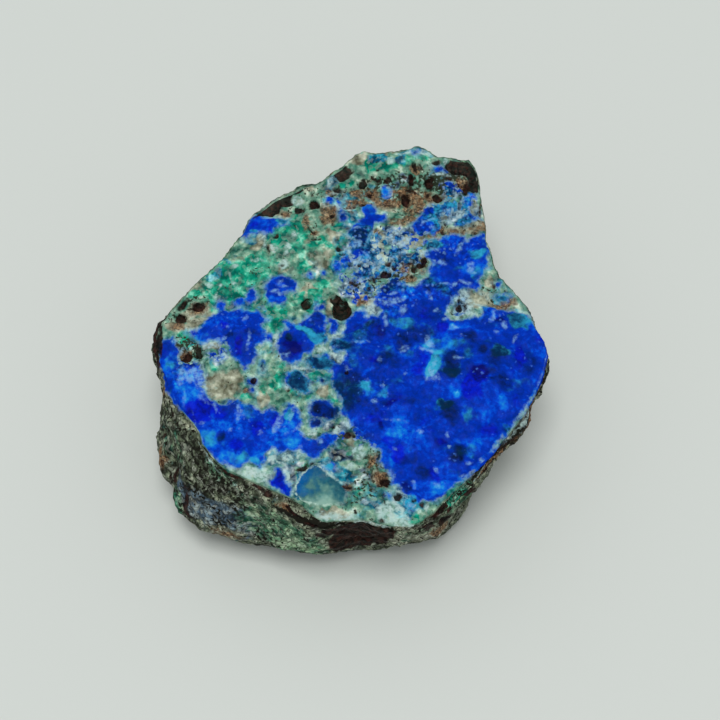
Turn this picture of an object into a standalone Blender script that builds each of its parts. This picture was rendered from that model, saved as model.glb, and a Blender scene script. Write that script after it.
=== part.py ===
"""A linarite and galena specimen: one broken piece of ore that lies on a flat break.

Its upper face is a nearly flat fracture, crusted blue and green, with small vugs. The walls are broken rock: they
bulge at the front left, overhang at the front right, and hold a dark galena pocket under the front rim.

The skin is one closed surface over two parameters. An angle runs round the stone, and a path number runs from the
middle of the upper face (0) to its rim (1), down the wall to the foot (2), and under to the middle of the base (3).

Sizes are in millimetres, with +Z up, until the mesh is made in metres. The outlines are drawn round an upright axis
near the stone's middle. The origin is below the middle of the stone's box, on the surface that it rests on.
"""

import math

import bpy
import numpy as np

MM = 0.001

# Where the outlines' axis stands, seen from the middle of the stone's box.
AXIS_X, AXIS_Y = 1.20, -0.37

# Heights above the resting surface.
FACE_HEIGHT = 18.0
FACE_SLOPE = 0.07  # rise of the upper face per millimetre away from the front
LIP_HEIGHT = 14.0
WAIST_HEIGHT = 6.5
FOOT_HEIGHT = 0.9

# Outlines seen from above, anticlockwise from the right.
RIM = [
    (23.1, -4.0), (22.6, -2.0), (21.8, -0.6), (21.3, 1.3), (20.6, 2.9), (18.9, 5.1), (17.6, 6.7), (16.9, 8.2),
    (16.4, 10.6), (15.9, 12.0), (16.0, 13.6), (15.4, 18.6), (15.3, 20.6), (14.8, 22.5), (14.1, 23.6), (12.7, 23.7),
    (11.5, 24.0), (9.9, 24.1), (8.7, 25.1), (7.5, 25.8), (6.2, 25.2), (1.8, 24.5), (0.6, 25.0), (-0.4, 24.5),
    (-1.9, 23.1), (-3.9, 21.4), (-5.3, 20.1), (-7.6, 19.6), (-11.0, 17.8), (-13.2, 15.9), (-14.2, 14.8),
    (-14.8, 13.0), (-15.9, 11.4), (-16.8, 9.8), (-19.2, 7.3), (-21.0, 5.4), (-23.6, 1.9), (-24.8, 0.0),
    (-25.1, -1.6), (-24.6, -4.4), (-23.5, -7.6), (-21.7, -11.1), (-20.2, -12.8), (-19.3, -14.2), (-19.0, -15.6),
    (-17.0, -18.1), (-15.6, -19.1), (-11.9, -20.8), (-8.4, -22.4), (-7.0, -23.3), (-5.9, -24.5), (-4.4, -25.5),
    (-2.2, -25.3), (0.4, -25.2), (2.6, -25.9), (5.2, -26.2), (7.2, -25.4), (8.7, -24.3), (9.9, -22.9),
    (12.8, -20.0), (16.2, -16.5), (19.0, -12.9), (20.4, -11.0), (22.2, -7.4),
]
LIP = [
    (23.2, -4.3), (22.7, -1.4), (20.9, 1.7), (18.5, 4.8), (16.7, 7.6), (16.1, 12.4), (15.7, 17.0), (15.4, 21.0),
    (14.4, 24.0), (11.4, 24.9), (7.6, 26.4), (2.0, 25.4), (-1.4, 24.4), (-5.6, 21.0), (-11.4, 18.4), (-15.0, 14.6),
    (-17.4, 10.6), (-21.8, 5.8), (-24.6, 1.6), (-25.6, -1.4), (-24.8, -4.6), (-24.3, -9.4), (-23.0, -12.2),
    (-21.6, -14.6), (-20.6, -17.6), (-17.0, -20.4), (-12.4, -22.4), (-8.6, -23.9), (-6.2, -25.2), (-4.0, -25.7),
    (0.4, -25.6), (4.0, -26.2), (7.2, -25.9), (9.4, -24.9), (11.2, -23.4), (12.8, -21.5), (15.2, -18.6),
    (17.6, -15.0), (19.6, -12.8), (21.4, -9.2), (22.8, -6.2),
]
WAIST = [
    (21.2, -3.0), (20.4, 1.0), (18.2, 5.0), (16.6, 9.0), (16.2, 14.0), (15.9, 19.0), (15.0, 22.8), (12.0, 25.4),
    (7.0, 26.9), (1.6, 26.2), (-3.0, 23.9), (-7.4, 21.2), (-12.6, 18.9), (-16.4, 14.6), (-19.4, 10.6),
    (-23.0, 6.4), (-24.8, 2.4), (-25.0, -2.4), (-24.8, -6.4), (-24.7, -10.6), (-24.6, -13.2), (-23.4, -15.2),
    (-22.7, -16.8), (-22.6, -18.8), (-21.0, -20.8), (-17.2, -22.1), (-14.4, -22.9), (-11.6, -23.7),
    (-8.6, -24.5), (-6.0, -24.9), (-4.2, -24.9), (1.2, -25.0), (4.0, -24.3), (7.4, -23.7), (9.6, -23.4),
    (11.2, -22.0), (12.5, -19.4), (14.2, -15.4), (16.2, -12.0), (18.6, -8.2), (20.4, -5.4),
]
FOOT = [
    (17.8, -2.0), (17.4, 3.0), (16.0, 8.0), (15.4, 13.6), (14.0, 19.2), (10.8, 22.6), (5.6, 23.8), (0.4, 22.4),
    (-4.4, 20.0), (-9.4, 17.4), (-13.8, 14.0), (-17.2, 9.4), (-21.0, 5.6), (-23.2, 1.0), (-23.9, -4.0),
    (-24.0, -9.4), (-23.4, -12.6), (-21.9, -14.8), (-21.6, -17.8), (-19.2, -19.5), (-14.6, -20.6),
    (-10.4, -21.8), (-6.0, -22.6), (-2.2, -22.4), (1.4, -22.5), (4.4, -21.7), (8.0, -21.1), (10.6, -20.6),
    (12.4, -18.6), (13.6, -15.6), (15.0, -11.8), (16.8, -7.0),
]

# Vugs in the upper face: middle x and y, radius, depth.
VUGS = [
    (-2.3, 2.1, 1.15, 1.9), (-3.0, 3.5, 0.75, 1.2), (-6.6, 2.7, 0.65, 0.9), (0.1, 20.3, 0.75, 1.0),
    (2.2, 21.0, 0.6, 0.7), (3.4, 20.9, 0.55, 0.7), (6.5, 20.4, 0.6, 0.8), (8.9, 20.3, 0.8, 1.0),
    (10.0, 18.3, 0.65, 0.8), (7.1, 22.2, 0.6, 0.7), (-6.0, 17.2, 0.65, 0.9), (-7.9, 16.4, 0.55, 0.7),
    (3.2, 7.1, 0.6, 0.8), (7.4, 8.6, 0.9, 0.8), (-20.0, 2.9, 0.7, 0.9), (-22.3, 1.1, 0.7, 0.8),
    (-19.7, -3.8, 0.55, 0.8), (-21.4, -4.2, 0.6, 0.8), (12.2, 2.4, 0.7, 0.6), (13.6, 19.6, 0.9, 0.8),
    (6.0, 17.9, 0.8, 0.7), (-13.1, -7.3, 0.6, 0.7), (3.0, -20.4, 0.8, 0.7), (4.4, -22.4, 0.6, 0.8),
]

# Broad hollows and swellings of the upper face: middle x and y, radii along x and y, height.
SWELLS = [
    (-4.6, -21.6, 3.4, 3.4, 0.55), (-0.8, -18.0, 2.6, 2.6, -0.45), (5.0, 18.0, 8.0, 3.6, -0.5),
    (16.0, 3.8, 4.0, 1.2, -0.55), (-10.0, 17.2, 4.0, 1.4, -0.6), (-21.4, 2.0, 3.4, 1.8, -0.45),
    (13.4, 21.6, 2.4, 2.6, -0.6), (-15.2, -1.6, 3.8, 3.2, 0.35), (-16.6, -7.6, 3.0, 2.2, -0.3),
    (14.0, -6.0, 7.0, 6.0, 0.3), (4.6, 23.6, 4.2, 1.6, 0.4), (-13.6, 7.6, 4.6, 3.4, 0.25),
]

# Chips and lumps of the wall: middle, radii, and the push outwards.
WALL_FORMS = [
    ((0.4, -25.8, 8.6), (4.6, 4.0, 5.0), -1.1),
    ((-6.2, -25.0, 3.2), (3.4, 3.0, 2.6), 0.2),
    ((-22.8, -15.6, 9.4), (2.2, 2.2, 2.2), -0.8),
    ((-25.2, -12.6, 8.0), (3.0, 3.4, 3.0), 0.6),
    ((-24.8, -6.8, 11.0), (2.6, 2.6, 4.0), -0.5),
    ((9.8, -24.2, 11.0), (2.2, 2.2, 3.0), -0.5),
    ((19.8, 1.0, 9.0), (4.0, 5.0, 4.6), -1.2),
    ((17.6, 12.0, 11.0), (3.0, 4.0, 3.4), -0.8),
    ((5.6, 26.4, 8.6), (6.0, 3.4, 4.6), -1.1),
    ((-9.4, 20.4, 9.8), (5.0, 3.6, 3.8), -1.0),
    ((-20.4, 9.0, 10.0), (4.4, 4.4, 4.8), -1.2),
    ((-2.6, 24.2, 3.6), (4.0, 3.0, 2.6), 0.8),
    ((-14.4, -22.6, 3.4), (4.4, 3.0, 2.4), 0.5),
]

RIM_ROUND = 0.45  # how far the rim's rounding reaches, on both sides of the edge
RIM_DROP = 0.22
WALL_ROUGHNESS = 0.62
FACE_ROUGHNESS = 0.26
LEDGE_SPACING = 1.9
LEDGE_DEPTH = 0.24
BASE_HOLLOW = 0.7

ROUND_STEPS = 264
FACE_STEPS, WALL_STEPS, BASE_STEPS = 44, 36, 22
KEPT_FACES = 8600

NODE_NAME = "specimen"
BLUE_CRUST = (0.010, 0.075, 0.52, 1.0)


def corner_values(x, y, z, seed):
    """A repeatable value from -1 to 1 for each whole-number corner of a lattice."""
    mixed = (x * 374761393 + y * 668265263 + z * 1440662683 + seed * 1274126177) & 0xFFFFFFFF
    mixed = ((mixed ^ (mixed >> 13)) * 1274126177) & 0xFFFFFFFF
    return ((mixed ^ (mixed >> 16)) & 0xFFFF) / 32767.5 - 1.0


def noise(points, size, seed):
    """Smooth noise from -1 to 1: the values at a lattice cell's eight corners, blended by smoothstep weights."""
    cell = np.floor(points / size).astype(np.int64)
    part = points / size - cell
    weight = part * part * (3.0 - 2.0 * part)
    total = np.zeros(len(points))
    for dx in (0, 1):
        for dy in (0, 1):
            for dz in (0, 1):
                step = np.array([dx, dy, dz])
                share = np.prod(np.where(step, weight, 1.0 - weight), axis=1)
                total += share * corner_values(*(cell + step).T, seed)
    return total


def fractal(points, size, octaves, seed):
    """Noise summed over octaves, each half as large and half as strong as the one before."""
    return sum(0.5**k * noise(points, size * 0.5**k, seed + k) for k in range(octaves))


def ridges(points, size, octaves, seed):
    """Creased noise around zero, with sharp crests where plain noise crosses zero."""
    return sum(0.5**k * (0.6 - 2.0 * np.abs(noise(points, size * 0.5**k, seed + k))) for k in range(octaves))


def reach(outline, angle):
    """Distance from the axis to a closed outline along each angle: the furthest crossing of the ray and an edge."""
    start = np.array(outline, float)
    side = np.roll(start, -1, axis=0) - start
    ray = np.stack([np.cos(angle), np.sin(angle)], axis=1)
    cross = ray[:, None, 0] * side[None, :, 1] - ray[:, None, 1] * side[None, :, 0]
    cross = np.where(np.abs(cross) < 1e-9, 1e-9, cross)
    along = (start[:, 0] * side[:, 1] - start[:, 1] * side[:, 0])[None, :] / cross
    share = (start[None, :, 0] * ray[:, None, 1] - start[None, :, 1] * ray[:, None, 0]) / cross
    hit = (share >= -1e-9) & (share <= 1.0 + 1e-9) & (along > 0.0)
    return np.where(hit, along, 0.0).max(axis=1)


def ease(value):
    """Smoothstep of a value, held between 0 and 1."""
    value = np.clip(value, 0.0, 1.0)
    return value * value * (3.0 - 2.0 * value)


def face_relief(x, y):
    """Height of the upper face over its plane: broad waves, hollows and swellings, less the vugs."""
    flat = np.stack([x, y, np.zeros_like(x)], axis=1)
    height = 0.34 * fractal(flat, 11.0, 3, 11)
    for mid_x, mid_y, wide, deep, rise in SWELLS:
        away = np.hypot((x - mid_x) / wide, (y - mid_y) / deep)
        height += rise * ease(1.35 - away)
    wobble = 0.25 * noise(flat, 0.9, 23)
    for mid_x, mid_y, radius, depth in VUGS:
        away = np.hypot(x - mid_x, y - mid_y) / radius
        height -= depth * ease(1.6 - 1.2 * (away + wobble))
    return height


def face_height(x, y):
    """Height of the upper face's sloping plane."""
    return FACE_HEIGHT + FACE_SLOPE * y


def wall_profile(angle, share):
    """Radius and height along the wall, from rim (0) to foot (1), through the lip and the waist.

    The four knots lie on the four outlines; the lip's and the waist's heights wander round the stone.
    """
    turn = np.stack([np.cos(angle), np.sin(angle), np.zeros_like(angle)], axis=1)
    rim_r = reach(RIM, angle)
    rim_z = face_height(rim_r * turn[:, 0], rim_r * turn[:, 1])
    lip_z = np.minimum(LIP_HEIGHT + 1.3 * noise(turn, 0.45, 31), rim_z - 1.5)
    waist_z = WAIST_HEIGHT + 1.6 * noise(turn, 0.5, 37)
    knots_r = np.stack([rim_r, reach(LIP, angle), reach(WAIST, angle), reach(FOOT, angle)])
    knots_z = np.stack([rim_z, lip_z, waist_z, np.full_like(angle, FOOT_HEIGHT)])
    place = np.clip(share, 0.0, 1.0) * 3.0
    first = np.minimum(place.astype(int), 2)
    within = place - first
    each = np.arange(len(angle))
    radius = knots_r[first, each] * (1.0 - within) + knots_r[first + 1, each] * within
    height = knots_z[first, each] * (1.0 - within) + knots_z[first + 1, each] * within
    return radius, height


def plain_point(angle, path):
    """Points of the stone before its roughness: face, wall and base, each by its own share of the path."""
    on_face, on_base = path <= 1.0, path >= 2.0
    rim_r = reach(RIM, angle)
    face_r = np.clip(path, 0.0, 1.0) * rim_r
    wall_r, wall_z = wall_profile(angle, path - 1.0)
    base_r = np.clip(3.0 - path, 0.0, 1.0) * reach(FOOT, angle)
    radius = np.where(on_face, face_r, np.where(on_base, base_r, wall_r))
    x, y = radius * np.cos(angle), radius * np.sin(angle)
    lifted = face_height(x, y) + face_relief(x, y) * ease((rim_r - face_r) / 1.2)
    lifted -= RIM_DROP * (1.0 - ease((rim_r - face_r) / RIM_ROUND))
    base_z = FOOT_HEIGHT * (1.0 - ease((reach(FOOT, angle) - base_r) / 2.4))
    height = np.where(on_face, lifted, np.where(on_base, base_z, wall_z))
    return np.stack([x, y, height], axis=1)


def outward(angle, path):
    """Unit normals: the cross product of the steps that a small change of path and of angle makes."""
    nudge = 0.012
    along = plain_point(angle, path + nudge) - plain_point(angle, path - nudge)
    around = plain_point(angle + nudge, path) - plain_point(angle - nudge, path)
    normal = np.cross(along, around)
    length = np.linalg.norm(normal, axis=1, keepdims=True)
    return normal / np.maximum(length, 1e-9)


def wall_relief(points):
    """Push of the wall along its normal: broad breaks, creases, ledges parallel to the face, chips and lumps."""
    push = WALL_ROUGHNESS * (1.1 * fractal(points, 7.5, 3, 41) + 0.7 * ridges(points, 4.2, 2, 47))
    bedding = points[:, 2] - FACE_SLOPE * points[:, 1] + 0.8 * noise(points, 6.0, 53)
    step = bedding / LEDGE_SPACING - np.floor(bedding / LEDGE_SPACING)
    push += LEDGE_DEPTH * (step - 0.5) * ease(0.5 + 1.5 * noise(points, 9.0, 59))
    for middle, radii, rise in WALL_FORMS:
        away = np.linalg.norm((points - np.array(middle)) / np.array(radii), axis=1)
        push += rise * ease(1.3 - away)
    return push


def skin_point(angle, path):
    """Points of the finished skin: the plain stone pushed along its normals, with its base held flat."""
    plain = plain_point(angle, path)
    wall_share = ease((path - 0.985) / 0.1) * (1.0 - ease((path - 1.93) / 0.07))
    face_share = 1.0 - ease((path - 0.97) / 0.03)
    push = wall_share * wall_relief(plain) + face_share * FACE_ROUGHNESS * fractal(plain, 1.7, 2, 61)
    points = plain + outward(angle, path) * push[:, None]
    hollow = BASE_HOLLOW * ease(2.2 * (fractal(plain, 9.0, 2, 67) - 0.32))
    inside = ease((path - 2.0) / 0.25) * ease((np.hypot(plain[:, 0], plain[:, 1]) - 6.0) / 3.0)
    points[:, 2] = np.maximum(points[:, 2], 0.0) + np.where(path >= 2.0, hollow * inside, 0.0)
    return points


def skin_mesh(name):
    """The closed skin as rings of quads from the face's middle to the base's, with a fan at each end."""
    face = np.linspace(0.0, 1.0, FACE_STEPS + 1)[1:]
    wall = np.linspace(1.0, 2.0, WALL_STEPS + 1)[1:]
    base = np.linspace(2.0, 3.0, BASE_STEPS + 1)[1:-1]
    rows = np.concatenate([face, wall, base])
    turns = np.arange(ROUND_STEPS) * (2.0 * math.pi / ROUND_STEPS)
    path, angle = (grid.ravel() for grid in np.meshgrid(rows, turns, indexing="ij"))
    ends = skin_point(np.zeros(2), np.array([0.0, 3.0]))
    points = np.concatenate([skin_point(angle, path), ends])

    ring = np.arange(ROUND_STEPS)
    after = (ring + 1) % ROUND_STEPS
    row_start = (np.arange(len(rows) - 1) * ROUND_STEPS)[:, None]
    below = row_start + ROUND_STEPS
    quads = np.stack([row_start + ring, below + ring, below + after, row_start + after], axis=2).reshape(-1, 4)
    top, bottom = len(points) - 2, len(points) - 1
    last = (len(rows) - 1) * ROUND_STEPS
    top_fan = np.stack([np.full(ROUND_STEPS, top), ring, after], axis=1)
    bottom_fan = np.stack([last + ring, np.full(ROUND_STEPS, bottom), last + after], axis=1)

    points += np.array([AXIS_X, AXIS_Y, 0.0])
    mesh = bpy.data.meshes.new(name)
    mesh.from_pydata((points * MM).tolist(), [], quads.tolist() + top_fan.tolist() + bottom_fan.tolist())
    mesh.validate()
    return mesh


def ore_material():
    """The blue crust's colour, a little glossy."""
    material = bpy.data.materials.new("mineral_crust")
    material.use_nodes = True
    shader = material.node_tree.nodes["Principled BSDF"]
    shader.inputs["Base Color"].default_value = BLUE_CRUST
    shader.inputs["Roughness"].default_value = 0.55
    shader.inputs["Metallic"].default_value = 0.0
    return material


def build_specimen():
    """The stone as one object, thinned to a few thousand flat faces that keep its edges, ledges and vugs."""
    mesh = skin_mesh(NODE_NAME)
    mesh.materials.append(ore_material())
    stone = bpy.data.objects.new(NODE_NAME, mesh)
    bpy.context.scene.collection.objects.link(stone)
    whole = 2 * len(mesh.polygons) - 2 * ROUND_STEPS
    thin = stone.modifiers.new("keep the main forms", "DECIMATE")
    thin.decimate_type = "COLLAPSE"
    thin.ratio = KEPT_FACES / whole
    thin.use_collapse_triangulate = True
    return stone


def main():
    for old in list(bpy.data.objects):
        bpy.data.objects.remove(old, do_unlink=True)
    build_specimen()


main()
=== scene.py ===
"""A linarite and galena specimen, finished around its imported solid.

The stone is one closed surface over two parameters, as its solid is. An angle runs round the stone, and a
path number runs from the middle of the upper face (0) to its rim (1), down the wall to the foot (2), and
under to the middle of the base (3). Here the surface is finer, with grains, pits and raised crusts. It
carries the places of its minerals as attributes, and the material turns those into colour, gloss and bumps.

Sizes are in millimetres until a mesh is made in metres. Places on the upper face are x and y from the
outlines' axis. Places on the wall are measured round it from the middle of the front, anticlockwise, and
down from the rim.
"""

import math
import bpy  # noqa: E402
import numpy as np  # noqa: E402
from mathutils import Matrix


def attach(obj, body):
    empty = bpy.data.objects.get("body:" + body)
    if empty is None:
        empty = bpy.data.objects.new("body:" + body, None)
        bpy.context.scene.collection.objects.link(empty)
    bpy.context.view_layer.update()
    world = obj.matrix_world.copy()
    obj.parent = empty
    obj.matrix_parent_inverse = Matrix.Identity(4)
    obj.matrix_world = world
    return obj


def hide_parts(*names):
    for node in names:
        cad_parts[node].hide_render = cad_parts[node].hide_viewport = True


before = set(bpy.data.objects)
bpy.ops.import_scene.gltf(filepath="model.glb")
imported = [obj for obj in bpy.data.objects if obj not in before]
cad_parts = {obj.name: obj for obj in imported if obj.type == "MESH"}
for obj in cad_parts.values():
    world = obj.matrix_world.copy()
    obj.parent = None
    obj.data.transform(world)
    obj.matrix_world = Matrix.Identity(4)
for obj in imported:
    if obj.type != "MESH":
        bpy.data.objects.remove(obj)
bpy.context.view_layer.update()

MM = 0.001
STONE = "specimen"

# ------------------------------------------------------------
# The stone's driving sizes and outlines, in millimetres, as in its solid.
# ------------------------------------------------------------

AXIS_X, AXIS_Y = 1.20, -0.37  # where the outlines' axis stands, seen from the middle of the stone's box
FACE_HEIGHT = 18.0
FACE_SLOPE = 0.07
LIP_HEIGHT = 14.0
WAIST_HEIGHT = 6.5
FOOT_HEIGHT = 0.9

RIM = [
    (23.1, -4), (22.6, -2), (21.8, -0.6), (21.3, 1.3), (20.6, 2.9), (18.9, 5.1), (17.6, 6.7), (16.9, 8.2),
    (16.4, 10.6), (15.9, 12), (16, 13.6), (15.4, 18.6), (15.3, 20.6), (14.8, 22.5), (14.1, 23.6),
    (12.7, 23.7), (11.5, 24), (9.9, 24.1), (8.7, 25.1), (7.5, 25.8), (6.2, 25.2), (1.8, 24.5), (0.6, 25),
    (-0.4, 24.5), (-1.9, 23.1), (-3.9, 21.4), (-5.3, 20.1), (-7.6, 19.6), (-11, 17.8), (-13.2, 15.9),
    (-14.2, 14.8), (-14.8, 13), (-15.9, 11.4), (-16.8, 9.8), (-19.2, 7.3), (-21, 5.4), (-23.6, 1.9),
    (-24.8, 0), (-25.1, -1.6), (-24.6, -4.4), (-23.5, -7.6), (-21.7, -11.1), (-20.2, -12.8), (-19.3, -14.2),
    (-19, -15.6), (-17, -18.1), (-15.6, -19.1), (-11.9, -20.8), (-8.4, -22.4), (-7, -23.3), (-5.9, -24.5),
    (-4.4, -25.5), (-2.2, -25.3), (0.4, -25.2), (2.6, -25.9), (5.2, -26.2), (7.2, -25.4), (8.7, -24.3),
    (9.9, -22.9), (12.8, -20), (16.2, -16.5), (19, -12.9), (20.4, -11), (22.2, -7.4),
]
LIP = [
    (23.2, -4.3), (22.7, -1.4), (20.9, 1.7), (18.5, 4.8), (16.7, 7.6), (16.1, 12.4), (15.7, 17), (15.4, 21),
    (14.4, 24), (11.4, 24.9), (7.6, 26.4), (2, 25.4), (-1.4, 24.4), (-5.6, 21), (-11.4, 18.4), (-15, 14.6),
    (-17.4, 10.6), (-21.8, 5.8), (-24.6, 1.6), (-25.6, -1.4), (-24.8, -4.6), (-24.3, -9.4), (-23, -12.2),
    (-21.6, -14.6), (-20.6, -17.6), (-17, -20.4), (-12.4, -22.4), (-8.6, -23.9), (-6.2, -25.2), (-4, -25.7),
    (0.4, -25.6), (4, -26.2), (7.2, -25.9), (9.4, -24.9), (11.2, -23.4), (12.8, -21.5), (15.2, -18.6),
    (17.6, -15), (19.6, -12.8), (21.4, -9.2), (22.8, -6.2),
]
WAIST = [
    (21.2, -3), (20.4, 1), (18.2, 5), (16.6, 9), (16.2, 14), (15.9, 19), (15, 22.8), (12, 25.4), (7, 26.9),
    (1.6, 26.2), (-3, 23.9), (-7.4, 21.2), (-12.6, 18.9), (-16.4, 14.6), (-19.4, 10.6), (-23, 6.4),
    (-24.8, 2.4), (-25, -2.4), (-24.8, -6.4), (-24.7, -10.6), (-24.6, -13.2), (-23.4, -15.2),
    (-22.7, -16.8), (-22.6, -18.8), (-21, -20.8), (-17.2, -22.1), (-14.4, -22.9), (-11.6, -23.7),
    (-8.6, -24.5), (-6, -24.9), (-4.2, -24.9), (1.2, -25), (4, -24.3), (7.4, -23.7), (9.6, -23.4),
    (11.2, -22), (12.5, -19.4), (14.2, -15.4), (16.2, -12), (18.6, -8.2), (20.4, -5.4),
]
FOOT = [
    (17.8, -2), (17.4, 3), (16, 8), (15.4, 13.6), (14, 19.2), (10.8, 22.6), (5.6, 23.8), (0.4, 22.4),
    (-4.4, 20), (-9.4, 17.4), (-13.8, 14), (-17.2, 9.4), (-21, 5.6), (-23.2, 1), (-23.9, -4), (-24, -9.4),
    (-23.4, -12.6), (-21.9, -14.8), (-21.6, -17.8), (-19.2, -19.5), (-14.6, -20.6), (-10.4, -21.8),
    (-6, -22.6), (-2.2, -22.4), (1.4, -22.5), (4.4, -21.7), (8, -21.1), (10.6, -20.6), (12.4, -18.6),
    (13.6, -15.6), (15, -11.8), (16.8, -7),
]

# Vugs in the upper face: middle x and y, radius, depth.
VUGS = [
    (-2.3, 2.1, 1.15, 1.9), (-3, 3.5, 0.75, 1.2), (-6.6, 2.7, 0.65, 0.9), (0.1, 20.3, 0.75, 1),
    (2.2, 21, 0.6, 0.7), (3.4, 20.9, 0.55, 0.7), (6.5, 20.4, 0.6, 0.8), (8.9, 20.3, 0.8, 1),
    (10, 18.3, 0.65, 0.8), (7.1, 22.2, 0.6, 0.7), (-6, 17.2, 0.65, 0.9), (-7.9, 16.4, 0.55, 0.7),
    (3.2, 7.1, 0.6, 0.8), (7.4, 8.6, 0.9, 0.8), (-20, 2.9, 0.7, 0.9), (-22.3, 1.1, 0.7, 0.8),
    (-19.7, -3.8, 0.55, 0.8), (-21.4, -4.2, 0.6, 0.8), (12.2, 2.4, 0.7, 0.6), (13.6, 19.6, 0.9, 0.8),
    (6, 17.9, 0.8, 0.7), (-13.1, -7.3, 0.6, 0.7), (3, -20.4, 0.8, 0.7), (4.4, -22.4, 0.6, 0.8),
]

# Broad hollows and swellings of the upper face: middle x and y, radii along x and y, height.
SWELLS = [
    (-4.6, -21.6, 3.4, 3.4, 0.55), (-0.8, -18, 2.6, 2.6, -0.45), (5, 18, 8, 3.6, -0.5),
    (16, 3.8, 4, 1.2, -0.55), (-10, 17.2, 4, 1.4, -0.6), (-21.4, 2, 3.4, 1.8, -0.45),
    (13.4, 21.6, 2.4, 2.6, -0.6), (-15.2, -1.6, 3.8, 3.2, 0.35), (-16.6, -7.6, 3, 2.2, -0.3),
    (14, -6, 7, 6, 0.3), (4.6, 23.6, 4.2, 1.6, 0.4), (-13.6, 7.6, 4.6, 3.4, 0.25),
]

# Chips and lumps of the wall: middle, radii, and the push outwards.
WALL_FORMS = [
    ((0.4, -25.8, 8.6), (4.6, 4.0, 5.0), -1.1),
    ((-6.2, -25.0, 3.2), (3.4, 3.0, 2.6), 0.2),
    ((-22.8, -15.6, 9.4), (2.2, 2.2, 2.2), -0.8),
    ((-25.2, -12.6, 8.0), (3.0, 3.4, 3.0), 0.6),
    ((-24.8, -6.8, 11.0), (2.6, 2.6, 4.0), -0.5),
    ((9.8, -24.2, 11.0), (2.2, 2.2, 3.0), -0.5),
    ((19.8, 1.0, 9.0), (4.0, 5.0, 4.6), -1.2),
    ((17.6, 12.0, 11.0), (3.0, 4.0, 3.4), -0.8),
    ((5.6, 26.4, 8.6), (6.0, 3.4, 4.6), -1.1),
    ((-9.4, 20.4, 9.8), (5.0, 3.6, 3.8), -1.0),
    ((-20.4, 9.0, 10.0), (4.4, 4.4, 4.8), -1.2),
    ((-2.6, 24.2, 3.6), (4.0, 3.0, 2.6), 0.8),
    ((-14.4, -22.6, 3.4), (4.4, 3.0, 2.4), 0.5),
]

RIM_ROUND, RIM_DROP = 0.45, 0.22
FACE_WAVE, FACE_WAVE_SIZE = 0.34, 11.0
FACE_ROUGHNESS, FACE_ROUGHNESS_SIZE = 0.26, 1.7
RELIEF_FROM_RIM = 1.2  # in from the rim, where the face's relief is whole
LIP_WANDER, WAIST_WANDER = 1.3, 1.6  # heights by which the wall's outlines rise and fall
LIP_BELOW_RIM = 1.5  # at least
WALL_ROUGHNESS = 0.62
WALL_BREAK, WALL_CREASE = 7.5, 4.2  # sizes of the wall's broad breaks and of its creases
LEDGE_SPACING, LEDGE_DEPTH = 1.9, 0.24
LEDGE_WANDER, LEDGE_WANDER_SIZE = 0.8, 6.0
LEDGE_PATCH = 9.0  # size of the stretches with and without ledges
BASE_ROUND = 2.4
BASE_HOLLOW, BASE_HOLLOW_SIZE = 0.7, 9.0
SWELL_REACH, FORM_REACH = 1.35, 1.3  # of their radii, where swellings and the wall's forms have faded

# Path numbers from which one finish comes or goes, and at which it has.
FACE_ROUGH_ENDS = 0.97, 1.0
WALL_ROUGH_STARTS, WALL_ROUGH_ENDS = (0.985, 1.085), (1.93, 2.0)
GRAIN_ENDS = 1.9, 2.02
HOLLOW_STARTS = 2.0, 2.25

# The finish that the solid leaves out.
ROUND_STEPS = 540
FACE_STEPS, WALL_STEPS, BASE_STEPS = 108, 62, 9
GRAIN_SIZE, GRAIN_HEIGHT = 0.62, 0.2  # of the wall's rock
CRUST_LUMP, CRUST_HEIGHT = 0.95, 0.14  # of the blue crust over the rock
GALENA_STEP = 0.35  # down from the face to its galena
VUG_DEPTH_SHARE = 0.6  # of the solid's vug depths, because their lining fills them
VUG_WOBBLE, VUG_WOBBLE_SIZE = 0.45, 0.7
SHINE = 0.03  # specular level of the whole skin

# ------------------------------------------------------------
# Where the minerals are. An outline is a closed line of places. A spot is its middle, its half length, its
# half width and its turn in degrees: one without a width is round, and one without a turn lies along x. A
# tint is its middle, its half length and width, its strength, and its turn where it has one.
# ------------------------------------------------------------

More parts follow.
